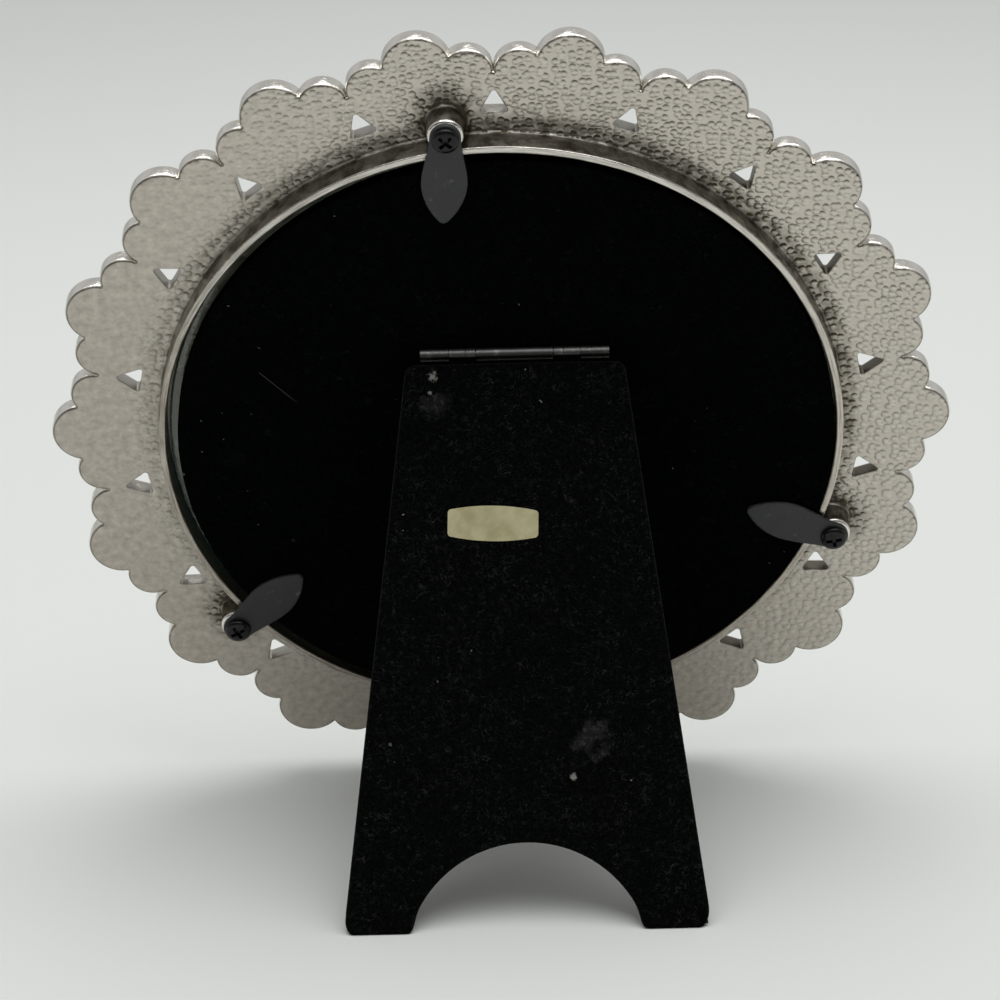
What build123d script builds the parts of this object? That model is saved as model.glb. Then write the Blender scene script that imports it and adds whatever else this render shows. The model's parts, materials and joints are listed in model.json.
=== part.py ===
from build123d import *
import math
import os

# A round table photo frame: a cast ring with a scalloped, pierced border holds glass, card and a
# velvet-covered backing, and stands on its two lowest lobes and a velvet-covered hinged leg.
# All lengths are millimetres and all angles degrees.
#
# Every piece is drawn as the frame lies face down on the bench, seen from behind: +X to the right,
# +Y to the top of the frame, +Z up out of its back. The middle of the ring is at X = Y = 0, and
# Z = 0 is the flat back of the border. The leg is drawn folded flat on the backing and then swung
# open, and at the end the whole frame is stood up: +Z up, the picture side facing -Y.

# Rim that holds the glass and the backing, and the ledge under the glass
rebate_radius = 51.0
ledge_width = 3.4
rim_wall = 1.1
rim_height = 4.3
rim_root_fillet = 0.7

# Cast border: eighteen units of three lobes each, with a pierced triangle between each two units.
# Counted outwards: rim, triangle, notch between units, cusps of the large lobe, its peak
unit_count = 18
pierce_land = 3.2
pierce_length = 4.1
pierce_width = 4.4
pierce_corner_radius = 0.4
notch_land = 2.6
cusp_rise = 3.0
cusp_half_angle = 4.4
peak_rise = 3.8
small_lobe_bulge = 2.2
border_thickness = 2.8

# Relief on the picture side of the border
large_dome_height = 1.2
small_dome_height = 0.9
dome_margin = 0.6
petal_land = 0.5
petal_width = 6.4
petal_height = 0.9
bead_count = 108
bead_radius = 1.05
bead_height = 0.85
window_moulding_width = 2.6
window_moulding_height = 1.1

# Bosses for the turn buttons, seen from behind: angles are counted from the right, anticlockwise
boss_land = 2.5
boss_angles = {"top": 97.5, "left": 219.5, "right": -20.5}
boss_radius = 2.7
boss_root_fillet = 0.9
boss_above_rim = 0.3
boss_floor = 0.8

# Glass, card and backing
glass_thickness = 2.0
glass_gap = 0.4
card_thickness = 0.3
card_inset = 0.6
lining_thickness = 0.2
board_thickness = 2.0
velvet_thickness = 0.5
velvet_edge_round = 0.35
backing_gap = 1.0
backing_shift_right = 0.75
backing_drop = 0.35
seat_gap = 0.05
wrap_gap = 0.02

# Hinge between backing and leg
hinge_height = 16.1
hinge_shift_right = 1.5
hinge_length = 28.3
barrel_radius = 1.0
leaf_thickness = 0.4
pin_radius = 0.5
pin_gap = 0.05
leg_finger_start = 5.8
leg_finger_width = 4.0
leg_heel_width = 1.5
knuckle_gap = 0.08
leaf_root_gap = 0.15
stop_gap = 0.03
board_leaf_reach = 9.0
leg_leaf_reach = 10.0
leaf_gap = 0.05
hinge_window_gap = 0.35
leaf_corner_radius = 1.5

# Rivets through the leaves
rivet_radius = 0.7
rivet_head_radius = 1.1
rivet_gap = 0.02
rivet_count = 3
board_rivet_spread = 9.6
board_rivet_rise = 5.6
leg_rivet_spread = 6.4
leg_rivet_drop = 6.4

# Easel leg
leg_open_angle = 37.0
leg_length = 85.0
leg_board_thickness = 2.6
leg_lining_thickness = 0.4
leg_top_gap = 1.6
leg_top_width = 32.6
leg_foot_width = 54.6
leg_corner_radius = 2.6
arch_radius = 18.4
arch_rise = 12.0

# Paper label on the leg
label_length = 13.5
label_end_height = 3.9
label_height = 5.3
label_corner_radius = 0.6
label_thickness = 0.12
label_drop = 25.4
label_shift_left = 3.8
label_turn = -2.0

# Turn buttons and their screws
button_turns = {"top": -10.0, "left": 4.0, "right": -1.2}
button_thickness = 0.7
button_head_radius = 2.3
button_length = 14.8
button_width = 6.8
button_widest = 7.6
button_tip_radius = 0.5
button_crease = 3.2
button_tip_gap = 0.1
button_hole_gap = 0.08
screw_radius = 1.0
screw_gap = 0.02
screw_depth = 4.8
screw_head_radius = 2.0
screw_head_edge = 0.45
screw_head_height = 1.1
screw_head_gap = 0.03
cross_length = 2.3
cross_width = 0.5
cross_depth = 0.6

# One overrun for every cut that has to pass a face
overrun = 1.0

# Levels and sizes worked out from the driving ones
window_radius = rebate_radius - ledge_width
rim_radius = rebate_radius + rim_wall
boss_circle_radius = rim_radius + boss_land
petal_inner_radius = rim_radius + petal_land
pierce_inner_radius = rim_radius + pierce_land
pierce_outer_radius = pierce_inner_radius + pierce_length
notch_radius = pierce_outer_radius + notch_land
cusp_radius = notch_radius + cusp_rise
lobe_peak_radius = cusp_radius + peak_rise
backing_radius = rebate_radius - backing_gap
card_radius = backing_radius - card_inset
backing_stack = lining_thickness + board_thickness + velvet_thickness
ledge_level = rim_height - glass_thickness - card_thickness - backing_stack
glass_level = ledge_level + glass_thickness
card_level = glass_level + card_thickness
board_level = card_level + lining_thickness
board_back = board_level + board_thickness
board_radius = backing_radius - velvet_thickness
bore_radius = pin_radius + pin_gap
leaf_inner = barrel_radius - leaf_thickness
leaf_root = barrel_radius + leaf_root_gap
axis_level = board_back + leaf_inner
backing_centre_y = -backing_drop
hinge_centre_x = backing_shift_right + hinge_shift_right
boss_top = rim_height + boss_above_rim
button_back = boss_top + button_thickness
unit_angle = 360 / unit_count


def polar(radius, angle):
    """The place on the bench at this radius and angle from the middle of the ring."""
    return (radius * math.cos(math.radians(angle)), radius * math.sin(math.radians(angle)))


def slab(low_x, high_x, low_y, high_y, low_z, high_z):
    """A box between two corners."""
    centre = Pos((low_x + high_x) / 2, (low_y + high_y) / 2, (low_z + high_z) / 2)
    return centre * Box(high_x - low_x, high_y - low_y, high_z - low_z)


def disc(radius, low, high):
    """A round plate about the middle of the ring, between two levels."""
    return Pos(0, 0, (low + high) / 2) * Cylinder(radius, high - low)


def turned(points_and_arcs):
    """A solid turned about Z from edges drawn in X and Z."""
    outline = make_face(Plane.XZ * Wire(points_and_arcs))
    return revolve(outline, Axis.Z)


def lobe_circle():
    """Centre radius and radius of the circle through a large lobe's two cusps and its peak."""
    half_chord = cusp_radius * math.sin(math.radians(cusp_half_angle))
    rise = lobe_peak_radius - cusp_radius * math.cos(math.radians(cusp_half_angle))
    radius = (half_chord ** 2 + rise ** 2) / (2 * rise)
    return lobe_peak_radius - radius, radius


def small_lobe_points(side):
    """Notch, peak and cusp of the small lobe on one side of a unit that points along +X."""
    notch = polar(notch_radius, side * unit_angle / 2)
    cusp = polar(cusp_radius, side * cusp_half_angle)
    chord_x = cusp[0] - notch[0]
    chord_y = cusp[1] - notch[1]
    chord = math.hypot(chord_x, chord_y)
    peak = (
        (notch[0] + cusp[0]) / 2 + side * small_lobe_bulge * -chord_y / chord,
        (notch[1] + cusp[1]) / 2 + side * small_lobe_bulge * chord_x / chord,
    )
    return notch, peak, cusp


def small_lobe_circle():
    """Distance out, distance aside and radius of the small lobe's circle."""
    notch, peak, cusp = small_lobe_points(1)
    half_chord = math.dist(notch, cusp) / 2
    radius = (half_chord ** 2 + small_lobe_bulge ** 2) / (2 * small_lobe_bulge)
    middle = ((notch[0] + cusp[0]) / 2, (notch[1] + cusp[1]) / 2)
    back_share = (radius - small_lobe_bulge) / small_lobe_bulge
    return (
        middle[0] - (peak[0] - middle[0]) * back_share,
        middle[1] - (peak[1] - middle[1]) * back_share,
        radius,
    )


def border_outline():
    """The scalloped outline, one arc for each lobe, with notches at the top and the bottom."""
    edges = []
    for unit in range(unit_count):
        turn = Rot(0, 0, 90 + (unit + 1 / 2) * unit_angle)
        low_notch, low_peak, low_cusp = small_lobe_points(-1)
        high_notch, high_peak, high_cusp = small_lobe_points(1)
        edges.append(turn * ThreePointArc(low_notch, low_peak, low_cusp))
        edges.append(turn * ThreePointArc(low_cusp, (lobe_peak_radius, 0), high_cusp))
        edges.append(turn * ThreePointArc(high_cusp, high_peak, high_notch))
    return make_face(Wire(edges))


def pierced_triangle():
    """One pierced hole, base towards the window and point towards the notch, along +X."""
    half = pierce_width / 2
    corners = [
        (pierce_inner_radius, -half),
        (pierce_outer_radius, 0),
        (pierce_inner_radius, half),
    ]
    face = make_face(Polyline(*corners, close=True))
    face = fillet(face.vertices(), pierce_corner_radius)
    return Pos(0, 0, -border_thickness / 2) * extrude(face, border_thickness + overrun, both=True)


def dome(base_radius, height):
    """A low round dome that stands down from Z = 0."""
    return turned([
        Line((0, 0), (0, -height)),
        ThreePointArc(
            (0, -height),
            (base_radius * math.sin(math.radians(45)), -height * math.cos(math.radians(45))),
            (base_radius, 0),
        ),
        Line((base_radius, 0), (0, 0)),
    ])


def petal():
    """A long low petal from the window to the large lobe, its ridge along the unit."""
    outer = lobe_circle()[0]
    length = outer - petal_inner_radius
    half_ridge = Pos(petal_inner_radius, 0, 0) * make_face(Plane.XZ * Wire([
        Line((0, 0), (length, 0)),
        ThreePointArc((length, 0), (length / 2, -petal_height), (0, 0)),
    ]))
    ridge = extrude(half_ridge, petal_width, both=True)
    half = petal_width / 2
    plan = make_face(Wire([
        ThreePointArc((petal_inner_radius, 0), (petal_inner_radius + length / 2, half), (outer, 0)),
        ThreePointArc((outer, 0), (petal_inner_radius + length / 2, -half), (petal_inner_radius, 0)),
    ]))
    return ridge & extrude(plan, -border_thickness)


def front_relief():
    """Domes, petals, a beaded line and a half-round moulding on the picture side."""
    large_centre, large_radius = lobe_circle()
    small_out, small_aside, small_radius = small_lobe_circle()
    large = Pos(large_centre, 0, 0) * dome(large_radius - dome_margin, large_dome_height)
    small = dome(small_radius - dome_margin, small_dome_height)
    unit = [large, Pos(small_out, small_aside, 0) * small, Pos(small_out, -small_aside, 0) * small, petal()]
    relief = []
    for index in range(unit_count):
        turn = Rot(0, 0, 90 + (index + 1 / 2) * unit_angle)
        relief += [turn * piece for piece in unit]
    half = window_moulding_width / 2
    moulding_centre = window_radius + half
    relief.append(turned([
        Line((moulding_centre - half, 0), (moulding_centre + half, 0)),
        ThreePointArc(
            (moulding_centre + half, 0),
            (moulding_centre, -window_moulding_height),
            (moulding_centre - half, 0),
        ),
    ]))
    bead = Pos(moulding_centre + half + bead_radius, 0, 0) * dome(bead_radius, bead_height)
    for index in range(bead_count):
        relief.append(Rot(0, 0, index * 360 / bead_count) * bead)
    return [Pos(0, 0, -border_thickness) * piece for piece in relief]


def boss():
    """A screw boss with a concave root, standing on the back of the border at X = Y = 0."""
    root = boss_root_fillet
    bend = root * (1 - math.cos(math.radians(45)))
    return turned([
        Line((0, -overrun), (0, boss_top)),
        Line((0, boss_top), (boss_radius, boss_top)),
        Line((boss_radius, boss_top), (boss_radius, root)),
        ThreePointArc((boss_radius, root), (boss_radius + bend, bend), (boss_radius + root, 0)),
        Line((boss_radius + root, 0), (boss_radius + root, -overrun)),
        Line((boss_radius + root, -overrun), (0, -overrun)),
    ])


def frame_casting():
    """The whole ring, one casting: border, relief, rim, ledge under the glass and bosses."""
    plate = extrude(border_outline(), -border_thickness)
    root = rim_root_fillet
    bend = root * (1 - math.cos(math.radians(45)))
    rim = turned([
        Line((window_radius, -border_thickness), (window_radius, ledge_level)),
        Line((window_radius, ledge_level), (rebate_radius, ledge_level)),
        Line((rebate_radius, ledge_level), (rebate_radius, rim_height)),
        Line((rebate_radius, rim_height), (rim_radius, rim_height)),
        Line((rim_radius, rim_height), (rim_radius, root)),
        ThreePointArc((rim_radius, root), (rim_radius + bend, bend), (rim_radius + root, 0)),
        Line((rim_radius + root, 0), (rim_radius + root, -border_thickness)),
        Line((rim_radius + root, -border_thickness), (window_radius, -border_thickness)),
    ])
    casting = plate - disc(rebate_radius, -border_thickness - overrun, overrun) + rim
    casting = casting + [Pos(*polar(boss_circle_radius, angle)) * boss() for angle in boss_angles.values()]
    casting = casting - disc(rebate_radius, ledge_level, boss_top + overrun)
    casting = casting + front_relief()
    triangle = pierced_triangle()
    casting = casting - [Rot(0, 0, 90 + index * unit_angle) * triangle for index in range(unit_count)]
    depth = button_back + screw_head_gap - screw_depth - boss_floor
    hole = disc(screw_radius + screw_gap, depth, boss_top + overrun)
    return casting - [Pos(*polar(boss_circle_radius, angle)) * hole for angle in boss_angles.values()]


def glass_disc():
    """Clear glass that rests on the ledge and has dropped to the rim."""
    drop = glass_gap - seat_gap
    return Pos(0, -drop, 0) * disc(rebate_radius - glass_gap, ledge_level, glass_level)


def on_backing(shape):
    """Moves a shape from the middle of the ring to the middle of the backing."""
    return Pos(backing_shift_right, backing_centre_y, 0) * shape


def photo_card():
    """A plain card between the glass and the backing, cut a little smaller than the backing."""
    return on_backing(disc(card_radius, glass_level, card_level))


def at_hinge(profile, low_x, high_x):
    """Extrudes a profile, drawn in Y and Z about the hinge axis, between two places along it."""
    start = Plane.YZ.offset(hinge_centre_x + low_x)
    return extrude(start * Pos(hinge_height, axis_level) * profile, high_x - low_x)


def profile_box(low_y, high_y, low_z, high_z):
    """A rectangle in a hinge profile, between two corners counted from the axis."""
    centre = Pos((low_y + high_y) / 2, (low_z + high_z) / 2)
    return centre * Rectangle(high_y - low_y, high_z - low_z)


def rivet_places(spread, distance):
    """Places of a row of rivets along the hinge, above the axis or below it."""
    step = 2 * spread / (rivet_count - 1)
    left = hinge_centre_x - spread
    return [(left + index * step, hinge_height + distance) for index in range(rivet_count)]


def rivet(low, high, gap):
    """A flush rivet between two levels, flared at both ends, and with a gap the hole for it."""
    flare = rivet_head_radius - rivet_radius
    shank = rivet_radius + gap
    head = rivet_head_radius + gap
    return turned([
        Line((0, low), (0, high)),
        Line((0, high), (head, high)),
        Line((head, high), (shank, high - flare)),
        Line((shank, high - flare), (shank, low + flare)),
        Line((shank, low + flare), (head, low)),
        Line((head, low), (0, low)),
    ])


def board_rivets(gap):
    """The rivets of the board leaf, or with a gap their holes."""
    places = rivet_places(board_rivet_spread, board_rivet_rise)
    return [Pos(*place) * rivet(board_level, board_back, gap) for place in places]


def leg_rivets(gap):
    """The rivets of the leg leaf, or with a gap their holes."""
    places = rivet_places(leg_rivet_spread, -leg_rivet_drop)
    low = axis_level + leaf_inner
    return [Pos(*place) * rivet(low, low + leg_board_thickness, gap) for place in places]


def board_lining():
    """Paper on the front of the backing board."""
    return on_backing(disc(board_radius, card_level, board_level))


def backing_board():
    """Fibreboard disc with a recess for the hinge leaf and a groove under the barrel."""
    half = hinge_length / 2 + leaf_gap
    recess = at_hinge(
        profile_box(-leaf_root, board_leaf_reach + leaf_gap, -barrel_radius, barrel_radius), -half, half
    )
    groove_depth = barrel_radius + leaf_root_gap
    groove_half = half + hinge_window_gap - leaf_gap
    groove = at_hinge(
        profile_box(-leaf_root - leaf_gap, leaf_inner - leaf_root_gap, -groove_depth, barrel_radius),
        -groove_half, groove_half,
    )
    board = on_backing(disc(board_radius, board_level, board_back))
    return board - recess - groove - board_rivets(rivet_gap)


def backing_velvet():
    """Velvet over the back and the edge of the board, with a window for the hinge barrel."""
    cloth = disc(backing_radius, board_level, rim_height)
    cloth = fillet(cloth.edges().sort_by(Axis.Z)[-1], velvet_edge_round)
    cloth = cloth - disc(board_radius + wrap_gap, board_level - overrun, board_back)
    reach = leaf_root + hinge_window_gap - leaf_root_gap
    half = hinge_length / 2 + hinge_window_gap
    window = at_hinge(profile_box(-reach, reach, -barrel_radius, barrel_radius), -half, half)
    return on_backing(cloth) - window


def board_hinge_leaf():
    """Upper leaf, riveted to the board: end and middle knuckles, and a landing for each heel."""
    half = hinge_length / 2
    finger_end = leg_finger_start + leg_finger_width
    plate = at_hinge(
        profile_box(leaf_root, board_leaf_reach, -barrel_radius, -leaf_inner), -half, half
    )
    top_edges = plate.edges().filter_by(Axis.Z).group_by(Axis.Y)[-1]
    leaf = fillet(top_edges, leaf_corner_radius)
    knuckle = Circle(barrel_radius) + profile_box(0, leaf_root, -barrel_radius, -leaf_inner)
    knuckle = knuckle - Circle(bore_radius)
    spans = [
        (-half, -finger_end - knuckle_gap),
        (-leg_finger_start + knuckle_gap, leg_finger_start - knuckle_gap),
        (finger_end + knuckle_gap, half),
    ]
    for low, high in spans:
        leaf = leaf + at_hinge(knuckle, low, high)
    heel_end = leg_finger_start + leg_heel_width
    landing = profile_box(leaf_inner - stop_gap, leaf_root, -barrel_radius, -leaf_inner)
    for low, high in ((-heel_end, -leg_finger_start), (leg_finger_start, heel_end)):
        leaf = leaf + at_hinge(landing, low, high)
    return leaf - board_rivets(rivet_gap)


def hinge_pin():
    """Wire pin, as long as the barrel, held by the board's knuckles."""
    half = hinge_length / 2
    return at_hinge(Circle(pin_radius), -half, half)


def leg_hinge_leaf():
    """Lower leaf, folded down as the leg is: two curled fingers, each with a heel that stops it."""
    finger_end = leg_finger_start + leg_finger_width
    plate = at_hinge(
        profile_box(-leg_leaf_reach, -leaf_root, leaf_inner, barrel_radius), -finger_end, finger_end
    )
    low_edges = plate.edges().filter_by(Axis.Z).group_by(Axis.Y)[0]
    leaf = fillet(low_edges, leaf_corner_radius)
    strip = profile_box(-leaf_root, 0, leaf_inner, barrel_radius)
    curl = Circle(barrel_radius) + strip - Circle(bore_radius)
    turn = 90 - leg_open_angle
    wedge_radius = 2 * barrel_radius
    wedge = make_face(Polyline(
        (0, 0),
        (0, wedge_radius),
        (wedge_radius * math.sin(math.radians(turn / 2)), wedge_radius * math.cos(math.radians(turn / 2))),
        (wedge_radius * math.sin(math.radians(turn)), wedge_radius * math.cos(math.radians(turn))),
        close=True,
    ))
    bend = (Circle(barrel_radius) - Circle(leaf_inner)) & wedge
    tip = Rot(0, 0, leg_open_angle) * profile_box(leaf_inner, barrel_radius, -leaf_inner + stop_gap, 0)
    heel = strip + bend + tip
    heel_end = leg_finger_start + leg_heel_width
    for side in (-1, 1):
        ends = sorted((side * (heel_end + knuckle_gap), side * finger_end))
        leaf = leaf + at_hinge(curl, *ends)
        ends = sorted((side * (leg_finger_start + knuckle_gap), side * heel_end))
        leaf = leaf + at_hinge(heel, *ends)
    return leaf - leg_rivets(rivet_gap)


def leg_plan(inset):
    """Outline of the folded leg, drawn a step inside its covered size, past the arch and feet."""
    top = hinge_height - leg_top_gap
    sole = hinge_height - leg_length
    slope = (leg_foot_width - leg_top_width) / 2 / (top - sole)
    low = sole - arch_rise
    top_half = leg_top_width / 2
    low_half = top_half + slope * (top - low)
    face = make_face(Polyline(
        (-low_half, low), (-top_half, top), (top_half, top), (low_half, low), close=True
    ))
    face = fillet(face.vertices().group_by(Axis.Y)[-1], leg_corner_radius)
    if inset:
        face = offset(face, -inset)
    arch = Pos(0, sole + arch_rise - arch_radius) * Circle(arch_radius + inset)
    arch_foot = math.sqrt(arch_radius ** 2 - (arch_radius - arch_rise) ** 2) + inset
    throat = Pos(0, (sole + low) / 2 - overrun) * Rectangle(2 * arch_foot, sole - low + 2 * overrun)
    return Pos(hinge_centre_x, 0) * (face - arch - throat)


def leg_slice(inset, low, high):
    """The leg's plan between two heights above the hinge axis."""
    return Pos(0, 0, axis_level + low) * extrude(leg_plan(inset), high - low)


def folded_core():
    """Leg board, before its soles are cut."""
    return leg_slice(velvet_thickness, leaf_inner, leaf_inner + leg_board_thickness)


def leaf_recess():
    """Room for the leg leaf in the board and under its covering."""
    half = leg_finger_start + leg_finger_width + leaf_gap
    return at_hinge(
        profile_box(-leg_leaf_reach - leaf_gap, overrun, leaf_inner - wrap_gap, barrel_radius + wrap_gap),
        -half, half,
    )


def swung(shape):
    """Swings a folded leg piece open about the hinge axis."""
    axis = Pos(0, hinge_height, axis_level)
    return axis * Rot(-leg_open_angle, 0, 0) * axis.inverse() * shape


def resting_lean():
    """Lean of the frame when its lowest lobes and the soles of the leg are on one floor."""
    lobe_centre, lobe_radius = lobe_circle()
    lobe_low = -lobe_centre * math.cos(math.radians(unit_angle / 2)) - lobe_radius
    swing = math.radians(leg_open_angle)
    front = leaf_inner - leg_lining_thickness
    sole_y = hinge_height - leg_length * math.cos(swing) + front * math.sin(swing)
    sole_z = axis_level + leg_length * math.sin(swing) + front * math.cos(swing)
    return math.degrees(math.atan2(sole_y - lobe_low, sole_z)), lobe_low


def bench_to_floor(depth):
    """The move that stands the frame up: its lowest lobe on the floor and shifted by a depth."""
    lean, lobe_low = resting_lean()
    up_y = math.sin(math.radians(lean))
    up_z = math.cos(math.radians(lean))
    plane = Plane(
        origin=(0, depth - lobe_low * up_y, -lobe_low * up_z),
        x_dir=(-1, 0, 0),
        z_dir=(0, up_z, -up_y),
    )
    return plane.location


def floor_block(height):
    """Everything below a height over the floor, placed in the frame as it lies on the bench."""
    size = 4 * leg_length
    block = Pos(0, 0, height - size / 2) * Box(size, size, size)
    return bench_to_floor(0).inverse() * block


def leg_board():
    """Fibreboard core of the leg, with a recess for the leaf and room for the covering on its soles."""
    core = swung(folded_core() - leaf_recess() - leg_rivets(rivet_gap))
    return core - floor_block(velvet_thickness)


def leg_lining():
    """Thin lining on the leg's front, over the hinge leaf."""
    lining = leg_slice(0, leaf_inner - leg_lining_thickness, leaf_inner)
    return swung(lining) - floor_block(wrap_gap)


def leg_velvet():
    """Velvet over the back, the edges and the soles of the leg."""
    back = leaf_inner + leg_board_thickness + velvet_thickness
    cloth = leg_slice(0, leaf_inner, back)
    cloth = cloth - leaf_recess()
    cloth = swung(cloth) - floor_block(0)
    core = swung(folded_core()) - floor_block(velvet_thickness)
    return cloth - core


def blank_label():
    """Small paper label with bowed long sides, stuck on the back of the leg by hand."""
    half_length = label_length / 2
    half_end = label_end_height / 2
    half = label_height / 2
    face = make_face(Wire([
        ThreePointArc((-half_length, half_end), (0, half), (half_length, half_end)),
        Line((half_length, half_end), (half_length, -half_end)),
        ThreePointArc((half_length, -half_end), (0, -half), (-half_length, -half_end)),
        Line((-half_length, -half_end), (-half_length, half_end)),
    ]))
    face = fillet(face.vertices(), label_corner_radius)
    paper = Rot(0, 0, label_turn) * extrude(face, label_thickness)
    back = axis_level + leaf_inner + leg_board_thickness + velvet_thickness
    return swung(Pos(hinge_centre_x - label_shift_left, hinge_height - label_drop, back) * paper)


def turn_button():
    """A leaf of sheet metal along +Y from its screw, bent so that its tip comes down on the backing."""
    half = button_width / 2
    tip_y = button_length - button_tip_radius
    flanks = [
        Spline(
            (side * button_head_radius, 0), (side * half, button_widest), (side * button_tip_radius, tip_y),
            tangents=[(0, 1), (-side, 1)],
        )
        for side in (-1, 1)
    ]
    plan = make_face(Wire([
        flanks[1],
        ThreePointArc((button_tip_radius, tip_y), (0, button_length), (-button_tip_radius, tip_y)),
        flanks[0],
        ThreePointArc((-button_head_radius, 0), (0, -button_head_radius), (button_head_radius, 0)),
    ]))
    tip_level = rim_height + button_tip_gap
    side = make_face(Polyline(
        (-button_length, boss_top),
        (button_crease, boss_top),
        (button_length, tip_level),
        (button_length, tip_level + button_thickness),
        (button_crease, button_back),
        (-button_length, button_back),
        close=True,
    ))
    strip = extrude(Plane.YZ * side, button_width, both=True)
    button = strip & extrude(plan, button_back + overrun)
    return button - disc(screw_radius + button_hole_gap, 0, button_back + overrun)


def screw():
    """Pan-head screw with a cross recess, its shank down in the boss."""
    seat = button_back + screw_head_gap
    crown = seat + screw_head_height
    shoulder = seat + screw_head_edge
    sag = (crown - shoulder) * math.sin(math.radians(60))
    body = turned([
        Line((0, seat - screw_depth), (0, crown)),
        ThreePointArc((0, crown), (screw_head_radius / 2, shoulder + sag), (screw_head_radius, shoulder)),
        Line((screw_head_radius, shoulder), (screw_head_radius, seat)),
        Line((screw_head_radius, seat), (screw_radius, seat)),
        Line((screw_radius, seat), (screw_radius, seat - screw_depth)),
        Line((screw_radius, seat - screw_depth), (0, seat - screw_depth)),
    ])
    half_length = cross_length / 2
    half_width = cross_width / 2
    floor = crown - cross_depth
    slot = slab(-half_length, half_length, -half_width, half_width, floor, crown + overrun)
    return body - slot - Rot(0, 0, 90) * slot


def at_boss(shape, angle, turn=0):
    """Puts a button or screw on its boss, turned from the way to the middle of the ring."""
    return Pos(*polar(boss_circle_radius, angle)) * Rot(0, 0, 90 + angle + turn) * shape


def bench_pieces():
    """Every piece by name, with the frame face down on the bench and the leg open."""
    pieces = {
        "frame_casting": frame_casting(),
        "glass_disc": glass_disc(),
        "photo_card": photo_card(),
        "board_lining": board_lining(),
        "backing_board": backing_board(),
        "backing_velvet": backing_velvet(),
        "board_hinge_leaf": board_hinge_leaf(),
        "board_hinge_rivets": Compound(board_rivets(0)),
        "hinge_pin": hinge_pin(),
        "leg_board": leg_board(),
        "leg_velvet": leg_velvet(),
        "leg_lining": leg_lining(),
        "leg_hinge_leaf": swung(leg_hinge_leaf()),
        "leg_hinge_rivets": swung(Compound(leg_rivets(0))),
        "blank_label": blank_label(),
    }
    for side, angle in boss_angles.items():
        pieces["turn_button_" + side] = at_boss(turn_button(), angle, button_turns[side])
        pieces["button_screw_" + side] = at_boss(screw(), angle)
    return pieces


def depth_shift(pieces):
    """Shift along Y that puts the middle of the standing frame's depth over the origin."""
    boxes = [(bench_to_floor(0) * piece).bounding_box() for piece in pieces.values()]
    return -(min(box.min.Y for box in boxes) + max(box.max.Y for box in boxes)) / 2


bench = bench_pieces()
stand_up = bench_to_floor(depth_shift(bench))
os.makedirs("parts", exist_ok=True)
for name, piece in bench.items():
    export_step(stand_up * piece, "parts/" + name + ".step")
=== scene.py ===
import json
import math

import bmesh
import bpy
import numpy as np
from mathutils import Matrix, Vector
from mathutils.geometry import delaunay_2d_cdt


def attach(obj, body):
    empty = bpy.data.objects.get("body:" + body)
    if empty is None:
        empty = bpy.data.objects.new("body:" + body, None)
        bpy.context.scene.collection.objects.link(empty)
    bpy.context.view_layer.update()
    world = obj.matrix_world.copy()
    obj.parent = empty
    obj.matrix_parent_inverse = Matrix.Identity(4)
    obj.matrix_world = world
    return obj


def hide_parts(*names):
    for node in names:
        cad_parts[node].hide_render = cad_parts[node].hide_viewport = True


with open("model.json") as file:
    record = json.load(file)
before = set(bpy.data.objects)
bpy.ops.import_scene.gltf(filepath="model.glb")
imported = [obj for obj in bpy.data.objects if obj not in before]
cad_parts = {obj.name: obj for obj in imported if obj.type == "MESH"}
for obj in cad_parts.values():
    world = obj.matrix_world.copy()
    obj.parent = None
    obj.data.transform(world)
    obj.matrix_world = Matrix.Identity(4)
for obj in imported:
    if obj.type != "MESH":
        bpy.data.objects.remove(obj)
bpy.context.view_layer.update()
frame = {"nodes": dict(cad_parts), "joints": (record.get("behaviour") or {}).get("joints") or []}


# The ring is one pewter-like casting: eighteen units of three lobes round a window, a pierced
# triangle between each two, a rim behind that holds glass and backing, and a boss for each turn
# button. The mould left its back pebbled; its front and edges were tumbled bright.
mm = 0.001
unit_count = 18
half_unit = math.pi / unit_count
window_radius = 47.6 * mm
moulding_width = 2.6 * mm
moulding_height = 1.1 * mm
rebate_radius = 51.0 * mm
rim_radius = 52.1 * mm
rim_height = 4.3 * mm
rim_round = 0.18 * mm
ledge_level = -0.7 * mm
root_radius = 53.3 * mm
root_fillet = 0.7 * mm
root_ridge = 0.14 * mm
pierce_inner = 55.3 * mm
pierce_outer = 59.4 * mm
pierce_width = 4.4 * mm
pierce_round = 0.4 * mm
notch_radius = 62.0 * mm
cusp_radius = 65.0 * mm
cusp_angle = math.radians(4.4)
peak_radius = 68.78 * mm
small_bulge = 2.2 * mm
border_thickness = 2.8 * mm
back_round = 0.5 * mm
front_round = 0.5 * mm
pierce_front_round = 0.4 * mm
pierce_back_round = 0.16 * mm
large_dome = 1.2 * mm
small_dome = 0.9 * mm
dome_margin = 0.6 * mm
petal_inner = 52.6 * mm
petal_width = 6.4 * mm
petal_height = 0.9 * mm
beads_per_unit = 6
bead_radius = 1.05 * mm
bead_height = 0.85 * mm
outline_step = 0.36 * mm
back_step = 0.385 * mm
front_step = 0.66 * mm
back_insets = (0.06, 0.24, 0.55, 1.0)
front_insets = (0.034, 0.134, 0.357, 0.658, 1.0)
rim_columns = 30
round_steps = 4
weld = 0.001 * mm
seam_weld = 0.002 * mm
crease_angle = math.radians(35)
pebble_pitch = 1.22 * mm
pebble_reach = 0.5
pebble_crispness = 2.6
pebble_height = 0.06 * mm
pebble_margin = 1.2 * mm
worn_side = 0.3
worn_reach = (-34, 40)
boss_sides = 40
bore_sides = 24
boss_circle = 54.6 * mm
boss_top = 4.6 * mm
boss_radius = 2.7 * mm
boss_root = 0.9 * mm
boss_round = 0.5 * mm
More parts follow.
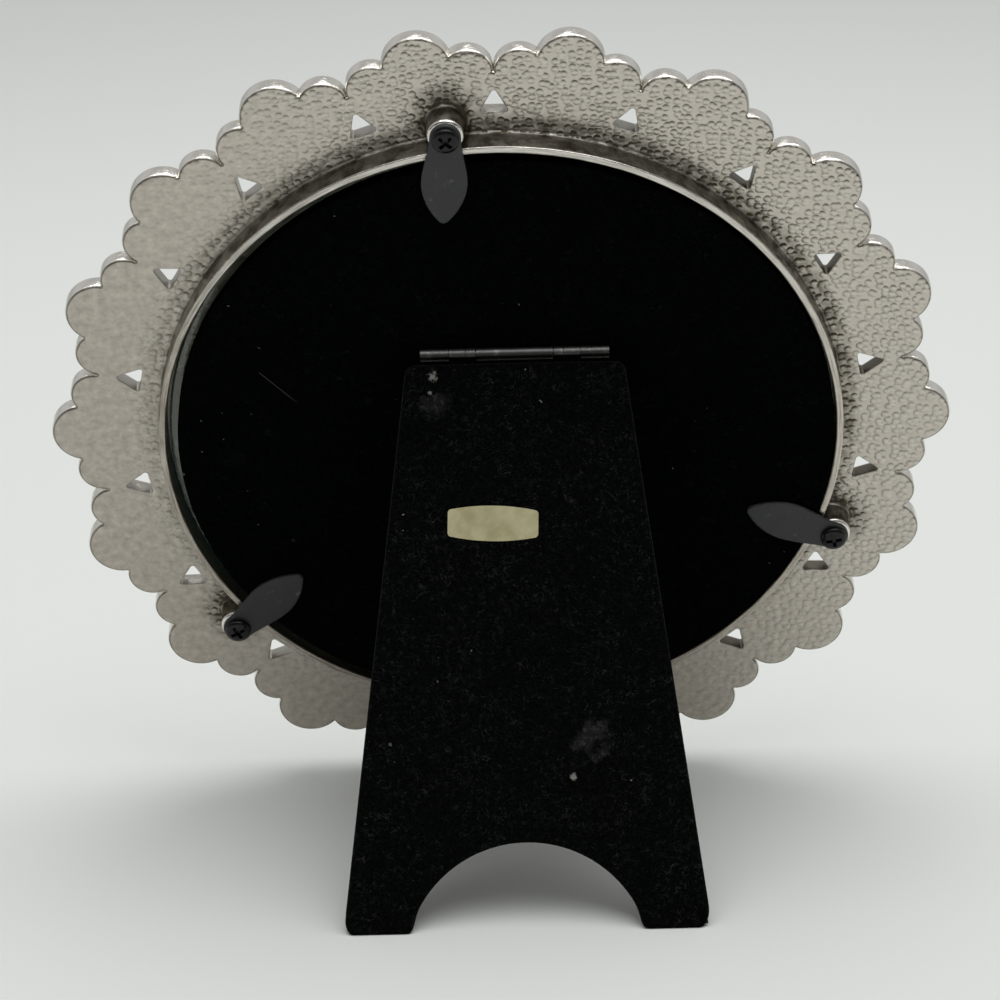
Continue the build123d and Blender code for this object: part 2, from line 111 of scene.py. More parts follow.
boss_buried = 1.2 * mm
boss_bore = 1.02 * mm
boss_floor = -0.27 * mm
boss_angles = {"top": 97.5, "left": 219.5, "right": -20.5}
pewter = (0.63, 0.578, 0.512, 1)
bright_pewter = (0.76, 0.735, 0.68, 1)
pewter_grime_and_shade = (0.085, 0.072, 0.05, 1)

# The pieces are drawn as the frame lies face down on a bench, seen from behind: x to the right, y to
# the top, z out of the back, the middle of the ring at zero. The swivels of the turn buttons lie on
# one circle about that middle, and so give the place at which the frame leans back on its leg.
joints = {joint["name"]: joint for joint in frame["joints"]}
swivels = [joints[side + "_button_swivel"] for side in boss_angles]
first, second, third = (Vector(swivel["pos_m"]) for swivel in swivels)
rear = Vector(swivels[0]["axis"]).normalized()
right = Vector((-1, 0, 0))
up = rear.cross(right)
side_a = second - first
side_b = third - first
across = side_a.cross(side_b)
to_middle = across.cross(side_a) * side_b.length_squared + side_b.cross(across) * side_a.length_squared
middle = first + to_middle / (2 * across.length_squared) - rear * boss_top
bench = Matrix((right, up, rear)).transposed().to_4x4()
bench.translation = middle


class Reading:
    """A socket on its way through a node tree: arithmetic on it adds Math nodes."""

    def __init__(self, nodes, socket):
        self.nodes = nodes
        self.socket = socket

    def __add__(self, other):
        return self.nodes.math("ADD", self, other)

    def __sub__(self, other):
        return self.nodes.math("SUBTRACT", self, other)

    def __mul__(self, other):
        return self.nodes.math("MULTIPLY", self, other)

    def __truediv__(self, other):
        return self.nodes.math("DIVIDE", self, other)

    def __pow__(self, other):
        return self.nodes.math("POWER", self, other)

    def __rsub__(self, other):
        return self.nodes.math("SUBTRACT", other, self)

    def __rtruediv__(self, other):
        return self.nodes.math("DIVIDE", other, self)

    def __abs__(self):
        return self.nodes.math("ABSOLUTE", self)

    __radd__ = __add__
    __rmul__ = __mul__


class Nodes:
    """A shader or geometry tree, with one method that adds any node."""

    def __init__(self, tree):
        self.tree = tree

    def feed(self, node, inputs):
        """Sets or links inputs of a node."""
        for key, value in dict(inputs).items():
            if isinstance(value, Reading):
                self.tree.links.new(value.socket, node.inputs[key])
            else:
                node.inputs[key].default_value = value

    def add(self, kind, settings=(), inputs=(), output=0):
        """Adds a node, makes its settings, then sets or links its inputs, and returns one output."""
        node = self.tree.nodes.new(kind)
        for key, value in dict(settings).items():
            setattr(node, key, value)
        self.feed(node, inputs)
        return Reading(self, node.outputs[output])

    def math(self, operation, first, second=0.0):
        return self.add("ShaderNodeMath", {"operation": operation}, {0: first, 1: second})

    def least(self, first, second):
        return self.math("MINIMUM", first, second)

    def most(self, first, second):
        return self.math("MAXIMUM", first, second)

    def vector(self, operation, first, second, output=0):
        return self.add("ShaderNodeVectorMath", {"operation": operation}, {0: first, 1: second}, output)

    def xyz(self, **parts):
        """A vector of readings of its X, Y and Z."""
        return self.add("ShaderNodeCombineXYZ", {}, parts)

    def split(self, place):
        node = self.add("ShaderNodeSeparateXYZ", {}, {0: place}).socket.node
        return [Reading(self, output) for output in node.outputs]

    def step(self, value, low, high):
        """0 below low, 1 above high, and a smooth rise between."""
        settings = {"interpolation_type": "SMOOTHSTEP"}
        return self.add("ShaderNodeMapRange", settings, {"Value": value, "From Min": low, "From Max": high})

    def rise(self, value, edges):
        """Rises from 0 to 1 between two edges in millimetres."""
        return self.step(value, edges[0] * mm, edges[1] * mm)

    def band(self, value, edges):
        """Rises between the first two of four edges in millimetres, falls back between the others."""
        return self.rise(value, edges[:2]) * (1 - self.rise(value, edges[2:]))

    def mix(self, share, plain, full):
        """Colours mixed by a share between 0 and 1."""
        return self.add("ShaderNodeMix", {"data_type": "RGBA"}, {0: share, 6: plain, 7: full}, output=2)

    def noise(self, place, pitch, detail=2.0, roughness=0.5, distortion=0.0):
        inputs = {"Vector": place, "Scale": 1 / pitch, "Detail": detail, "Roughness": roughness}
        return self.add("ShaderNodeTexNoise", {}, {**inputs, "Distortion": distortion})

    def bench_place(self):
        """Place on the bench of a point of the surface."""
        place = self.add("ShaderNodeTexCoord", output="Object")
        inputs = {"Vector": place, "Location": middle, "Rotation": bench.to_euler()}
        return self.add("ShaderNodeMapping", {"vector_type": "TEXTURE"}, inputs)

    def surface(self, colour, rough, relief, depth, strength=1.0, more=()):
        """Inputs of a Principled shader: colour, roughness, a bump of some depth, and some more."""
        inputs = {"Height": relief, "Distance": depth, "Strength": strength}
        normal = self.add("ShaderNodeBump", {}, inputs)
        return {"Base Color": colour, "Roughness": rough, "Normal": normal, **dict(more)}


def span(x, y):
    """Length of a run of x and y."""
    return (x * x + y * y) ** 0.5


def grey(tone):
    return (tone, tone, tone, 1)


def finish(name, settle):
    """A material whose Principled shader is settled by a function: its node tree in, its inputs out."""
    material = bpy.data.materials.new(name)
    material.use_nodes = True
    nodes = Nodes(material.node_tree)
    nodes.feed(material.node_tree.nodes["Principled BSDF"], settle(nodes))
    return material


def placed(name, data):
    """An object of some data in the scene."""
    thing = bpy.data.objects.new(name, data)
    bpy.context.scene.collection.objects.link(thing)
    return thing


def stand(name, mesh, place, material, body, nodes):
    """Puts a finished mesh in its place as a piece of a body, in the place of some CAD nodes."""
    mesh.transform(place)
    mesh.materials.clear()
    mesh.materials.append(material)
    mesh.shade_smooth()
    mesh.set_sharp_from_angle(angle=crease_angle)
    piece = placed(name, mesh)
    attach(piece, body)
    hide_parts(*nodes)


def joined(parts):
    """One shape of some parts, each a list of places and a list of faces, with its doubles merged."""
    shape = bmesh.new()
    for verts, faces in parts:
        made = [shape.verts.new(vert) for vert in verts]
        for face in faces:
            shape.faces.new([made[index] for index in face])
    bmesh.ops.remove_doubles(shape, verts=shape.verts, dist=weld)
    return shape


def turned_out(shape):
    bmesh.ops.recalc_face_normals(shape, faces=shape.faces)
    return shape


def as_mesh(shape, name):
    mesh = bpy.data.meshes.new(name)
    shape.to_mesh(mesh)
    shape.free()
    return mesh


def evaluated(piece):
    """The plain mesh that a piece's modifiers make, the piece itself taken away."""
    graph = bpy.context.evaluated_depsgraph_get()
    mesh = bpy.data.meshes.new_from_object(piece.evaluated_get(graph))
    bpy.data.objects.remove(piece)
    return mesh


def cut(mesh, tool, operation="DIFFERENCE"):
    """A mesh with a shape cut out of it or joined to it."""
    piece = placed("worked piece", mesh)
    helper = placed("tool", as_mesh(tool, "tool"))
    modifier = piece.modifiers.new("cut", "BOOLEAN")
    modifier.solver = "MANIFOLD"
    modifier.operation = operation
    modifier.object = helper
    result = evaluated(piece)
    bpy.data.objects.remove(helper)
    return result


def polar(radius, angle):
    return np.array((radius * math.cos(angle), radius * math.sin(angle)))


def ring_at(radius, angles):
    """Places at a radius and some angles."""
    return np.stack((radius * np.cos(angles), radius * np.sin(angles)), 1)


def full_turn(count):
    return np.linspace(0, 2 * math.pi, count, endpoint=False)


def straight(run):
    return run / np.linalg.norm(run)


def circle_through(first, second, third):
    """Centre and radius of the circle through three places."""
    a = second - first
    b = third - first
    cross = 2 * (a[0] * b[1] - a[1] * b[0])
    x = (b[1] * a.dot(a) - a[1] * b.dot(b)) / cross
    y = (a[0] * b.dot(b) - b[0] * a.dot(a)) / cross
    return first + np.array((x, y)), math.hypot(x, y)


def arc(centre, radius, start, end, step):
    """Places along an arc, anticlockwise from one place to another."""
    first = math.atan2(*(start - centre)[::-1])
    sweep = (math.atan2(*(end - centre)[::-1]) - first) % (2 * math.pi)
    count = max(2, round(sweep * radius / step))
    return centre + ring_at(radius, first + sweep * np.linspace(0, 1, count + 1))


def rounded_loop(corners, step):
    """A closed outline through corners of x, y and radius, anticlockwise, its sides divided evenly."""
    bends = []
    for index, (x, y, radius) in enumerate(corners):
        corner = np.array((x, y))
        back = straight(np.array(corners[index - 1][:2]) - corner)
        ahead = straight(np.array(corners[(index + 1) % len(corners)][:2]) - corner)
        half = math.acos(np.clip(back.dot(ahead), -1, 1)) / 2
        if radius == 0 or half > math.radians(89):
            bends.append(corner[None])
            continue
        centre = corner + straight(back + ahead) * radius / math.sin(half)
        start = corner + back * radius / math.tan(half)
        end = corner + ahead * radius / math.tan(half)
        if back[0] * ahead[1] - back[1] * ahead[0] < 0:
            bends.append(arc(centre, radius, start, end, min(step, radius / 4)))
        else:
            bends.append(arc(centre, radius, end, start, min(step, radius / 4))[::-1])
    places = []
    for bend, following in zip(bends, bends[1:] + bends[:1]):
        count = max(1, round(np.linalg.norm(following[0] - bend[-1]) / step))
        shares = np.linspace(0, 1, count + 1)[1:-1, None]
        places += [bend, bend[-1] + (following[0] - bend[-1]) * shares]
    return np.concatenate(places)


def outward_of(loop):
    """Outward direction at each place of an outline that runs anticlockwise."""
    run = np.roll(loop, -1, 0) - np.roll(loop, 1, 0)
    side = np.stack((run[:, 1], -run[:, 0]), 1)
    return side / np.linalg.norm(side, axis=1)[:, None]


def distance(places, line):
    """Distance from each place to a line of straight runs, worked out a batch of places at a time."""
    batch = 256
    start = line[:-1]
    run = np.diff(line, axis=0)
    length = (run ** 2).sum(1)
    result = np.empty(len(places))
    for index in range(0, len(places), batch):
        offset = places[index:index + batch, None] - start
        share = np.clip((offset * run).sum(2) / length, 0, 1)
        result[index:index + batch] = np.linalg.norm(offset - share[..., None] * run, axis=2).min(1)
    return result


def closed(loop):
    return np.concatenate((loop, loop[:1]))


def inside(places, loop):
    """Which places lie inside a closed outline."""
    x, y = places[:, 0], places[:, 1]
    found = np.zeros(len(places), bool)
    for (ax, ay), (bx, by) in zip(loop, np.roll(loop, -1, 0)):
        if ay != by:
            crosses = (ay > y) != (by > y)
            found ^= crosses & (x < (bx - ax) * (y - ay) / (by - ay) + ax)
    return found


def fill(loops, step, fixed=()):
    """Triangles within an outline and round the holes in it, on an even grid and fixed places."""
    off_outline = step * 0.5
    off_fixed = step * 0.45
    rise = step * math.sqrt(3) / 2
    low = loops[0].min(0)
    high = loops[0].max(0)
    x, y = np.meshgrid(np.arange(low[0], high[0], rise), np.arange(low[1], high[1], step))
    y = y + (np.arange(x.shape[1]) % 2) * step / 2
    grid = np.stack((x.ravel(), y.ravel()), 1)
    within = inside(grid, loops[0])
    for hole in loops[1:]:
        within &= ~inside(grid, hole)
    grid = grid[within]
    for loop in loops:
        grid = grid[distance(grid, closed(loop)) > off_outline]
    for line in fixed:
        near = np.sqrt(((grid[:, None] - line[None]) ** 2).sum(2).min(1))
        grid = grid[near > off_fixed]
    places = np.concatenate([*loops, *fixed, grid]) / mm
    faces = []
    count = 0
    for loop in loops:
        faces.append(list(range(count, count + len(loop))))
        count += len(loop)
    result = delaunay_2d_cdt([Vector(place) for place in places], [], faces, 1, 1e-5)
    kept = [face for face, owners in zip(result[2], result[5]) if list(owners) == [0]]
    return np.array([tuple(place) for place in result[0]]) * mm, np.array(kept)


def wall(rows, around):
    """Faces between rows of places of one length, closed round or open."""
    verts = np.concatenate(rows)
    count = len(rows[0])
    faces = []
    for row in range(len(rows) - 1):
        for column in range(count if around else count - 1):
            here = row * count + column
            beside = row * count + (column + 1) % count
            faces.append((here, beside, beside + count, here + count))
    return verts, faces


def at_level(places, level):
    return np.column_stack((places, np.full(len(places), level)))


def plate(loop, rows, step, bottom=True):
    """A plate with an outline: rows of inset and level up its edge, then a flat top and bottom."""
    outward = outward_of(loop)
    rings = [at_level(loop - outward * inset, level) for inset, level in rows]
    verts, faces = fill([rings[-1][:, :2]], step)
    parts = [wall(rings, True), (at_level(verts, rows[-1][1]), faces)]
    if bottom:
        verts, faces = fill([rings[0][:, :2]], step)
        parts.append((at_level(verts, rows[0][1]), faces[:, ::-1]))
    return joined(parts)


def lathe(profile, count):
    """A turned solid: radius and level along a profile from axis to axis."""
    angles = full_turn(count)
    rows = [at_level(ring_at(radius, angles), level) for radius, level in profile]
    return turned_out(joined([wall(rows, True)]))


def quarter(radius, x, z, start):
    """Radius and level along a quarter round of an edge, from a start angle on, anticlockwise."""
    angles = math.radians(start) + np.linspace(0, math.pi / 2, round_steps + 1)
    return [(x + radius * math.cos(angle), z + radius * math.sin(angle)) for angle in angles]


def hollow_foot(radius, fillet, degrees):
    """Radius and level along the hollow corner at the foot of an upright wall."""
    angles = np.radians(degrees)
    return [(radius + fillet * (1 - math.cos(angle)), fillet * (1 - math.sin(angle))) for angle in angles]


peak = polar(peak_radius, -half_unit)
cusp = polar(cusp_radius, cusp_angle - half_unit)
far_cusp = polar(cusp_radius, -cusp_angle - half_unit)
notch = polar(notch_radius, 0)
chord = straight(notch - cusp)
bulge = (notch + cusp) / 2 + small_bulge * np.array((chord[1], -chord[0]))
large_centre, large_radius = circle_through(far_cusp, peak, cusp)
small_centre, small_radius = circle_through(cusp, bulge, notch)
half_outline = np.concatenate((
    arc(large_centre, large_radius, peak, cusp, outline_step)[:-1],
    arc(small_centre, small_radius, cusp, notch, outline_step),
))
outline = np.concatenate((half_outline, half_outline[-2::-1] * np.array((1, -1))))
triangle = rounded_loop((
    (pierce_inner, -pierce_width / 2, pierce_round),
    (pierce_outer, 0, pierce_round),
    (pierce_inner, pierce_width / 2, pierce_round),
), outline_step)
unit_columns = np.linspace(-half_unit, half_unit, rim_columns + 1)


def low_dome(distance_out, radius, height):
    return height * np.sqrt(np.clip(1 - (distance_out / radius) ** 2, 0, 1))


def front_relief(places):
    """Domes on the lobes, a petal on each unit and a row of beads round the window."""
    radius = np.hypot(places[:, 0], places[:, 1])
    angle = np.abs(np.arctan2(places[:, 1], places[:, 0]))
    folded = ring_at(radius, -angle)
    large = low_dome(np.linalg.norm(folded - large_centre, axis=1), large_radius - dome_margin, large_dome)
    small = low_dome(np.linalg.norm(folded - small_centre, axis=1), small_radius - dome_margin, small_dome)
    out = radius * np.cos(half_unit - angle)
    aside = radius * np.sin(half_unit - angle)
    share = np.clip((out - petal_inner) / (np.linalg.norm(large_centre) - petal_inner), 0, 1)
    swell = 4 * share * (1 - share)
    petal = low_dome(aside, np.maximum(swell, 0.001) * petal_width / 2, petal_height * swell)
    pitch = 2 * half_unit / beads_per_unit
    off_bead = angle % pitch - pitch / 2
    bead_circle = window_radius + moulding_width + bead_radius
    bead = low_dome(np.hypot(radius - bead_circle, radius * off_bead), bead_radius, bead_height)
    return np.maximum.reduce((large, small, petal, bead))


def edge_drop(inset, radius):
    """How far a rounded edge has dropped at an inset from the outline."""
    missing = np.clip(radius - inset, 0, radius)
    return radius - np.sqrt(np.maximum(radius ** 2 - missing ** 2, 0))


def unit_face(inner_radius, step, outer_round, hole_round, shares):
    """One side of a unit in the plane, with rows of places where its edges are rounded."""
    inner = ring_at(inner_radius, unit_columns)
    insets = outer_round * np.array(shares)
    count = round((peak_radius - insets[-1] - inner_radius) / step)
    radii = np.linspace(inner_radius, peak_radius - insets[-1], count + 1)[1:]
    radii = np.concatenate((radii, peak_radius - insets[-2::-1]))
    border = polar(1, half_unit)
    high = radii[:, None] * border
    low = high * np.array((1, -1))
    loop = np.concatenate((inner[::-1], low, outline, high[::-1]))
    rows = []
    outward = outward_of(closed(outline))[:len(outline)]
    for inset in insets:
        row = outline[1:-1] - outward[1:-1] * inset
        row = row[distance(row, outline) > inset * 0.95]
        rows.append(row[row[:, 0] * border[1] - np.abs(row[:, 1]) * border[0] > step * 0.3])
    around = outward_of(triangle)
    rows += [triangle + around * hole_round * share for share in shares]
    verts, faces = fill([loop, triangle], step, rows)
    drop = np.maximum(
        edge_drop(distance(verts, outline), outer_round),
        edge_drop(distance(verts, closed(triangle)), hole_round),
    )
    return verts, faces, drop


def unit():
    """One unit, from the middle of one large lobe to the middle of the next."""
    verts, faces, drop = unit_face(root_radius, back_step, back_round, pierce_back_round, back_insets)
    parts = [(np.column_stack((verts, -drop)), faces)]
    verts, faces, drop = unit_face(
        window_radius + moulding_width, front_step, front_round, pierce_front_round, front_insets
    )
    level = -border_thickness + drop - front_relief(verts)
    parts.append((np.column_stack((verts, level)), faces[:, ::-1]))
    hole_line = closed(triangle)[::-1]
    edges = ((outline, front_round, back_round), (hole_line, pierce_front_round, pierce_back_round))
    for line, front, back in edges:
        low = -border_thickness + front
        parts.append(wall([at_level(line, level) for level in (low, (low - back) / 2, -back)], False))
    top = rim_height - rim_round
    profile = [(root_radius, 0), (root_radius - 0.2 * mm, 0.05 * mm), (root_radius - 0.4 * mm, root_ridge)]
    profile += hollow_foot(rim_radius, root_fillet, (55, 35, 15, 0))
    profile += [(rim_radius, level) for level in np.linspace(root_fillet, top, 5)[1:-1]]
    profile += quarter(rim_round, rim_radius - rim_round, top, 0)
    profile += quarter(rim_round, rebate_radius + rim_round, top, 90)
    profile += [(rebate_radius, level) for level in np.linspace(rim_height, ledge_level, 5)[1:]]
    profile += [(window_radius, ledge_level), (window_radius, -border_thickness)]
    for share in np.linspace(0, math.pi, 9)[1:]:
        radius = window_radius + moulding_width / 2 * (1 - math.cos(share))
        profile.append((radius, -border_thickness - moulding_height * math.sin(share)))
    rows = [at_level(ring_at(radius, unit_columns), level) for radius, level in profile]
    verts, faces = wall(rows, False)
    parts.append((verts, [face[::-1] for face in faces]))
    return as_mesh(turned_out(joined(parts)), "unit")


unit_mesh = unit()
unit_places = np.empty(len(unit_mesh.vertices) * 3)
unit_mesh.vertices.foreach_get("co", unit_places)
unit_places = unit_places.reshape(-1, 3)
plan = unit_places[:, :2]
edge_gap = np.minimum(distance(plan, outline), distance(plan, closed(triangle)))
pebbled = np.clip(edge_gap / pebble_margin, 0, 1) * (unit_places[:, 2] > -back_round)
pebbled *= np.clip((np.linalg.norm(plan, axis=1) - rim_radius) / mm, 0, 1)
unit_mesh.attributes.new("pebbled", "FLOAT", "POINT").data.foreach_set("value", pebbled)


def tree_of(name, inputs):
    """The nodes of a new geometry tree with some named inputs, and readings of these."""
    tree = bpy.data.node_groups.new(name, "GeometryNodeTree")
    for key, kind in inputs.items():
        tree.interface.new_socket(key, in_out="INPUT", socket_type="NodeSocket" + kind)
    tree.interface.new_socket("Piece", in_out="OUTPUT", socket_type="NodeSocketGeometry")
    nodes = Nodes(tree)
    start = tree.nodes.new("NodeGroupInput")
    return nodes, {key: Reading(nodes, start.outputs[key]) for key in inputs}


def copied(nodes, points, shape, turn):
    """Copies of a shape at some points, each turned about z, made into plain geometry."""
    inputs = {"Points": points, "Instance": shape, "Rotation": nodes.xyz(Z=turn)}
    copies = nodes.add("GeometryNodeInstanceOnPoints", {}, inputs)
    return nodes.add("GeometryNodeRealizeInstances", {}, {0: copies})


def send_out(nodes, piece, material):
    """Ends a tree with a piece and its material."""
    piece = nodes.add("GeometryNodeSetMaterial", {}, {"Geometry": piece, "Material": material})
    nodes.feed(nodes.tree.nodes.new("NodeGroupOutput"), {0: piece})


def grown(name, mesh, tree, values):
    """The mesh that a geometry tree makes of another, its named inputs given values."""
    piece = placed(name, mesh)
    modifier = piece.modifiers.new("grow", "NODES")
    modifier.node_group = tree
    for item in tree.interface.items_tree:
        if item.in_out == "INPUT" and item.name in values:
            modifier[item.identifier] = values[item.name]
    return evaluated(piece)


def pebbles(nodes, place, pitch):
    """Height from 0 to 1 of the pebbles of the mould: low domes with a crisp foot, packed at a pitch."""
    inputs = {"Vector": place, "Scale": 1 / pitch, "Randomness": 0.8}
    gap = nodes.add("ShaderNodeTexVoronoi", {"voronoi_dimensions": "2D"}, inputs, output="Distance")
    return 1 - nodes.least(gap / pebble_reach, 1.0) ** pebble_crispness


def crisp_side(nodes, east, north):
    """0 at the lower left, where the mould was worn, and 1 at the upper right."""
    return nodes.rise(east * 0.8 + north * 0.6, worn_reach)


nodes, given = tree_of("ring of units", {
    "Unit": "Geometry", "Units": "Int", "Pebble pitch": "Float", "Pebble height": "Float",
    "Finish": "Material",
})
points = nodes.add("GeometryNodeMeshLine", {}, {"Count": given["Units"], "Offset": (0, 0, 0)})
turn = (nodes.add("GeometryNodeInputIndex") + 0.5) * (2 * math.pi) / given["Units"]
ring = copied(nodes, points, given["Unit"], turn)
ring = nodes.add("GeometryNodeMergeByDistance", {}, {"Geometry": ring, "Distance": seam_weld})
place = nodes.add("GeometryNodeInputPosition")
east, north, out = nodes.split(place)
weight = nodes.add("GeometryNodeInputNamedAttribute", {}, {"Name": "pebbled"}, output="Attribute")
side = worn_side + crisp_side(nodes, east, north) * (1 - worn_side)
height = pebbles(nodes, place, given["Pebble pitch"]) * weight * side * given["Pebble height"]
ring = nodes.add("GeometryNodeSetPosition", {}, {"Geometry": ring, "Offset": nodes.xyz(Z=height)})
send_out(nodes, ring, given["Finish"])
ring_tree = nodes.tree

back_levels = (-0.2, -0.06, 0.15, 0.45)
past_rim = (52.2, 52.5)
rim_top_levels = (3.95, 4.15)
wall_radii = (51.7, 51.95)
past_rebate = (51.1, 51.3)
inner_levels = (-1.2, -1.0)
high_reach = (5, 40)
near_rim_radii = (54.0, 59.0)
near_boss_reach = (3.0, 7.5)
boss_side_reach = (3.5, 4.2)
boss_side_radii = (51.9, 52.2)
boss_levels = (-0.1, 0.2, 4.0, 4.25)
foot_radii = (52.9, 55.6)
hole_levels = (-2.5, -2.3, -0.2, -0.05)
hole_radii = (54.4, 54.8, 60.0, 60.4)
dark_hole_reach = (10, 35)
under_edge_levels = (-0.24, -0.16, -0.06, 0.0)
under_edge_radii = (61.2, 61.6)
recess_levels = (-3.4, -2.75, -2.7, -2.5)
crescent = 0.17 * mm
streak_reach = 3.0 * mm


def settle_pewter(nodes):
    place = nodes.bench_place()
    east, north, out = nodes.split(place)
    radius = span(east, north)
    back = nodes.band(out, back_levels)
    on_rim = (1 - nodes.rise(radius, past_rim)) * nodes.rise(out, back_levels[2:])
    rim_top = nodes.rise(out, rim_top_levels) * on_rim
    outer_wall = nodes.rise(radius, wall_radii) * on_rim * (1 - rim_top)
    # Painted shade on the rebate wall and ledge inside the rim.
    inner = (1 - nodes.rise(radius, past_rebate)) * nodes.rise(out, inner_levels)
    side = crisp_side(nodes, east, north)
    high = nodes.rise(north, high_reach)
    near_rim = 1 - nodes.rise(radius, near_rim_radii)
    off_boss = 1.0
    for angle in boss_angles.values():
        x, y = polar(boss_circle, math.radians(angle))
        off_boss = nodes.least(span(east - x, north - y), off_boss)
    near_boss = 1 - nodes.rise(off_boss, near_boss_reach)
    boss_side = (1 - nodes.rise(off_boss, boss_side_reach)) * nodes.rise(radius, boss_side_radii)
    boss_side = boss_side * nodes.band(out, boss_levels)
    # Bumps of the mould: crisp at the top and right, nearly worn away at the lower left. A dark crescent
    # of painted shade lies above each bump, strongest at the top and right, along the foot of the rim and
    # round the bosses.
    patches = nodes.noise(place, 7 * mm, 3)
    bumps = pebbles(nodes, place, pebble_pitch)
    above = nodes.vector("ADD", place, (0, crescent, 0))
    painted_crescent_shade = nodes.most(bumps - pebbles(nodes, above, pebble_pitch), 0.0)
    struck = nodes.most(nodes.most(side, near_rim * 0.6), near_boss) * (0.45 + patches) * back
    hammered = nodes.noise(place, 1.3 * mm, 4, 0.6)
    grain = nodes.noise(place, 0.4 * mm, 3, 0.6)
    # Grime also gathers along the foot of the rim, down its wall and round the bosses. Painted shade
    # darkens the rebate inside the rim, the walls of the holes, more on the right, and the recesses of
    # the front, and a painted dark reflection runs along the back edge of the lobes.
    streaks = nodes.step(nodes.noise(place, 2.6 * mm, 4, 0.6), 0.3, 0.7)
    lengthwise = nodes.xyz(X=east / radius * streak_reach, Y=north / radius * streak_reach, Z=radius + out)
    turned = nodes.noise(lengthwise, 0.3 * mm, 3, 0.6)
    foot = (1 - nodes.rise(radius, foot_radii)) * back * (0.25 + side * 0.75)
    foot = nodes.most(foot, near_boss * back * 0.8)
    hole = nodes.band(out, hole_levels) * nodes.band(radius, hole_radii)
    hole = hole * (0.5 + nodes.rise(east, dark_hole_reach) * 0.42)
    under_edge = nodes.band(out, under_edge_levels) * nodes.rise(radius, under_edge_radii)
    recess = nodes.band(out, recess_levels)
    grime_and_painted_shade = foot * (0.2 + streaks * 0.55) + outer_wall * (0.4 + streaks * 0.5 + turned * 0.2)
    grime_and_painted_shade = grime_and_painted_shade + painted_crescent_shade * struck * (0.8 + high * 0.6 + foot * 1.6) + inner * 0.7
    # The rim top keeps its turning marks, with painted shade towards the lower left.
    grime_and_painted_shade = grime_and_painted_shade + rim_top * ((turned - 0.4) * 1.6 + (1 - side) * 0.3) + boss_side * (0.6 + streaks * 0.5)
    grime_and_painted_shade = grime_and_painted_shade + hole + under_edge * 0.5 + recess * 0.6
    # Painted shade: the back darker at the lower left, and a little towards the bottom.
    painted_side_shade = (1 - side) * 0.2 + (1 - high) * 0.04
    grime_and_painted_shade = grime_and_painted_shade + back * ((hammered - 0.5) * (0.8 - side * 0.4) + painted_side_shade)
    grime_and_painted_shade = nodes.most(nodes.least(grime_and_painted_shade, 1.0), 0.0)
    # Painted highlights: the tops of the bumps lighter, and the rim top towards the top.
    dull_less_painted_highlights = nodes.most(back * (1 - bumps * struck * 0.35), rim_top * (1 - high * 0.8))
    colour = nodes.mix(grime_and_painted_shade, nodes.mix(dull_less_painted_highlights, bright_pewter, pewter), pewter_grime_and_shade)
    rough = 0.2 + back * 0.12 + grain * 0.1 + grime_and_painted_shade * 0.18 - rim_top * 0.04
    relief = bumps * struck * 0.5 + hammered * back * 0.45 + grain * 0.08 + streaks * (1 - back) * 0.4
    relief = relief + turned * (rim_top + outer_wall) * 0.25
    return nodes.surface(colour, rough, relief, 0.2 * mm, more={"Metallic": 1.0})


pewter_finish = finish("cast pewter", settle_pewter)
ring_mesh = grown("ring", unit_mesh, ring_tree, {
    "Units": unit_count, "Pebble pitch": pebble_pitch, "Pebble height": pebble_height,
    "Finish": pewter_finish,
})
boss_foot = boss_radius + boss_root
boss_profile = [(0, -boss_buried), (boss_foot, -boss_buried), (boss_foot, 0.01 * mm)]
boss_profile += hollow_foot(boss_radius, boss_root, (75, 55, 35, 15, 0))
boss_profile += quarter(boss_round, boss_radius - boss_round, boss_top - boss_round, 0)
boss_profile += [(0, boss_top)]
bore_profile = [(0, boss_floor), (boss_bore, boss_floor), (boss_bore, 6 * mm), (0, 6 * mm)]


def at_bosses(profile, count):
    """A turned solid at each boss, as one shape."""
    shape = bmesh.new()
    for angle in boss_angles.values():
        turned = lathe(profile, count)
        turned.transform(Matrix.Translation((*polar(boss_circle, math.radians(angle)), 0)))
        shape.from_mesh(as_mesh(turned, "turned"))
    return shape


ring_mesh = cut(ring_mesh, at_bosses(boss_profile, boss_sides), "UNION")
ring_mesh = cut(ring_mesh, at_bosses(bore_profile, bore_sides))
stand("cast_ring", ring_mesh, bench, pewter_finish, "frame", ["frame_casting"])


# The picture glass is a two millimetre disc, cut and ground by hand. Its thick green edge shows in
# the rebate at the left, where the backing stands off the rim. It lies loose on the ledge.
glass_radius = 50.6 * mm
glass_back = 1.3 * mm
glass_drop = 0.35 * mm
arris = 0.15 * mm
glass_sides = 192
glass_edge_radii = (50.2, 50.5)
chipped_reach = (10, 30)
glass_profile = [
    (0, ledge_level), (glass_radius - arris, ledge_level), (glass_radius, ledge_level + arris),
    (glass_radius, glass_back - arris), (glass_radius - arris, glass_back), (0, glass_back),
]


def settle_glass(nodes):
    place = nodes.bench_place()
    east, north, out = nodes.split(place)
    edge = nodes.rise(span(east, north), glass_edge_radii)
    ground = nodes.noise(place, 0.7 * mm, 4, 0.65)
    # Pale flecks towards the top of the edge stand for chips, with painted glints on them.
    chips = nodes.step(nodes.noise(place, 1.3 * mm, 2), 0.6, 0.66) * nodes.rise(north, chipped_reach)
    green = nodes.mix(chips, (0.03, 0.15, 0.115, 1), (0.7, 0.8, 0.76, 1))
    colour = nodes.mix(edge, (0.90, 0.96, 0.93, 1), green)
    rough = 0.03 + edge * (0.1 + ground * 0.25)
    clear = {"Transmission Weight": 1.0, "IOR": 1.52}
    return nodes.surface(colour, rough, ground * edge, 0.15 * mm, 0.6, clear)


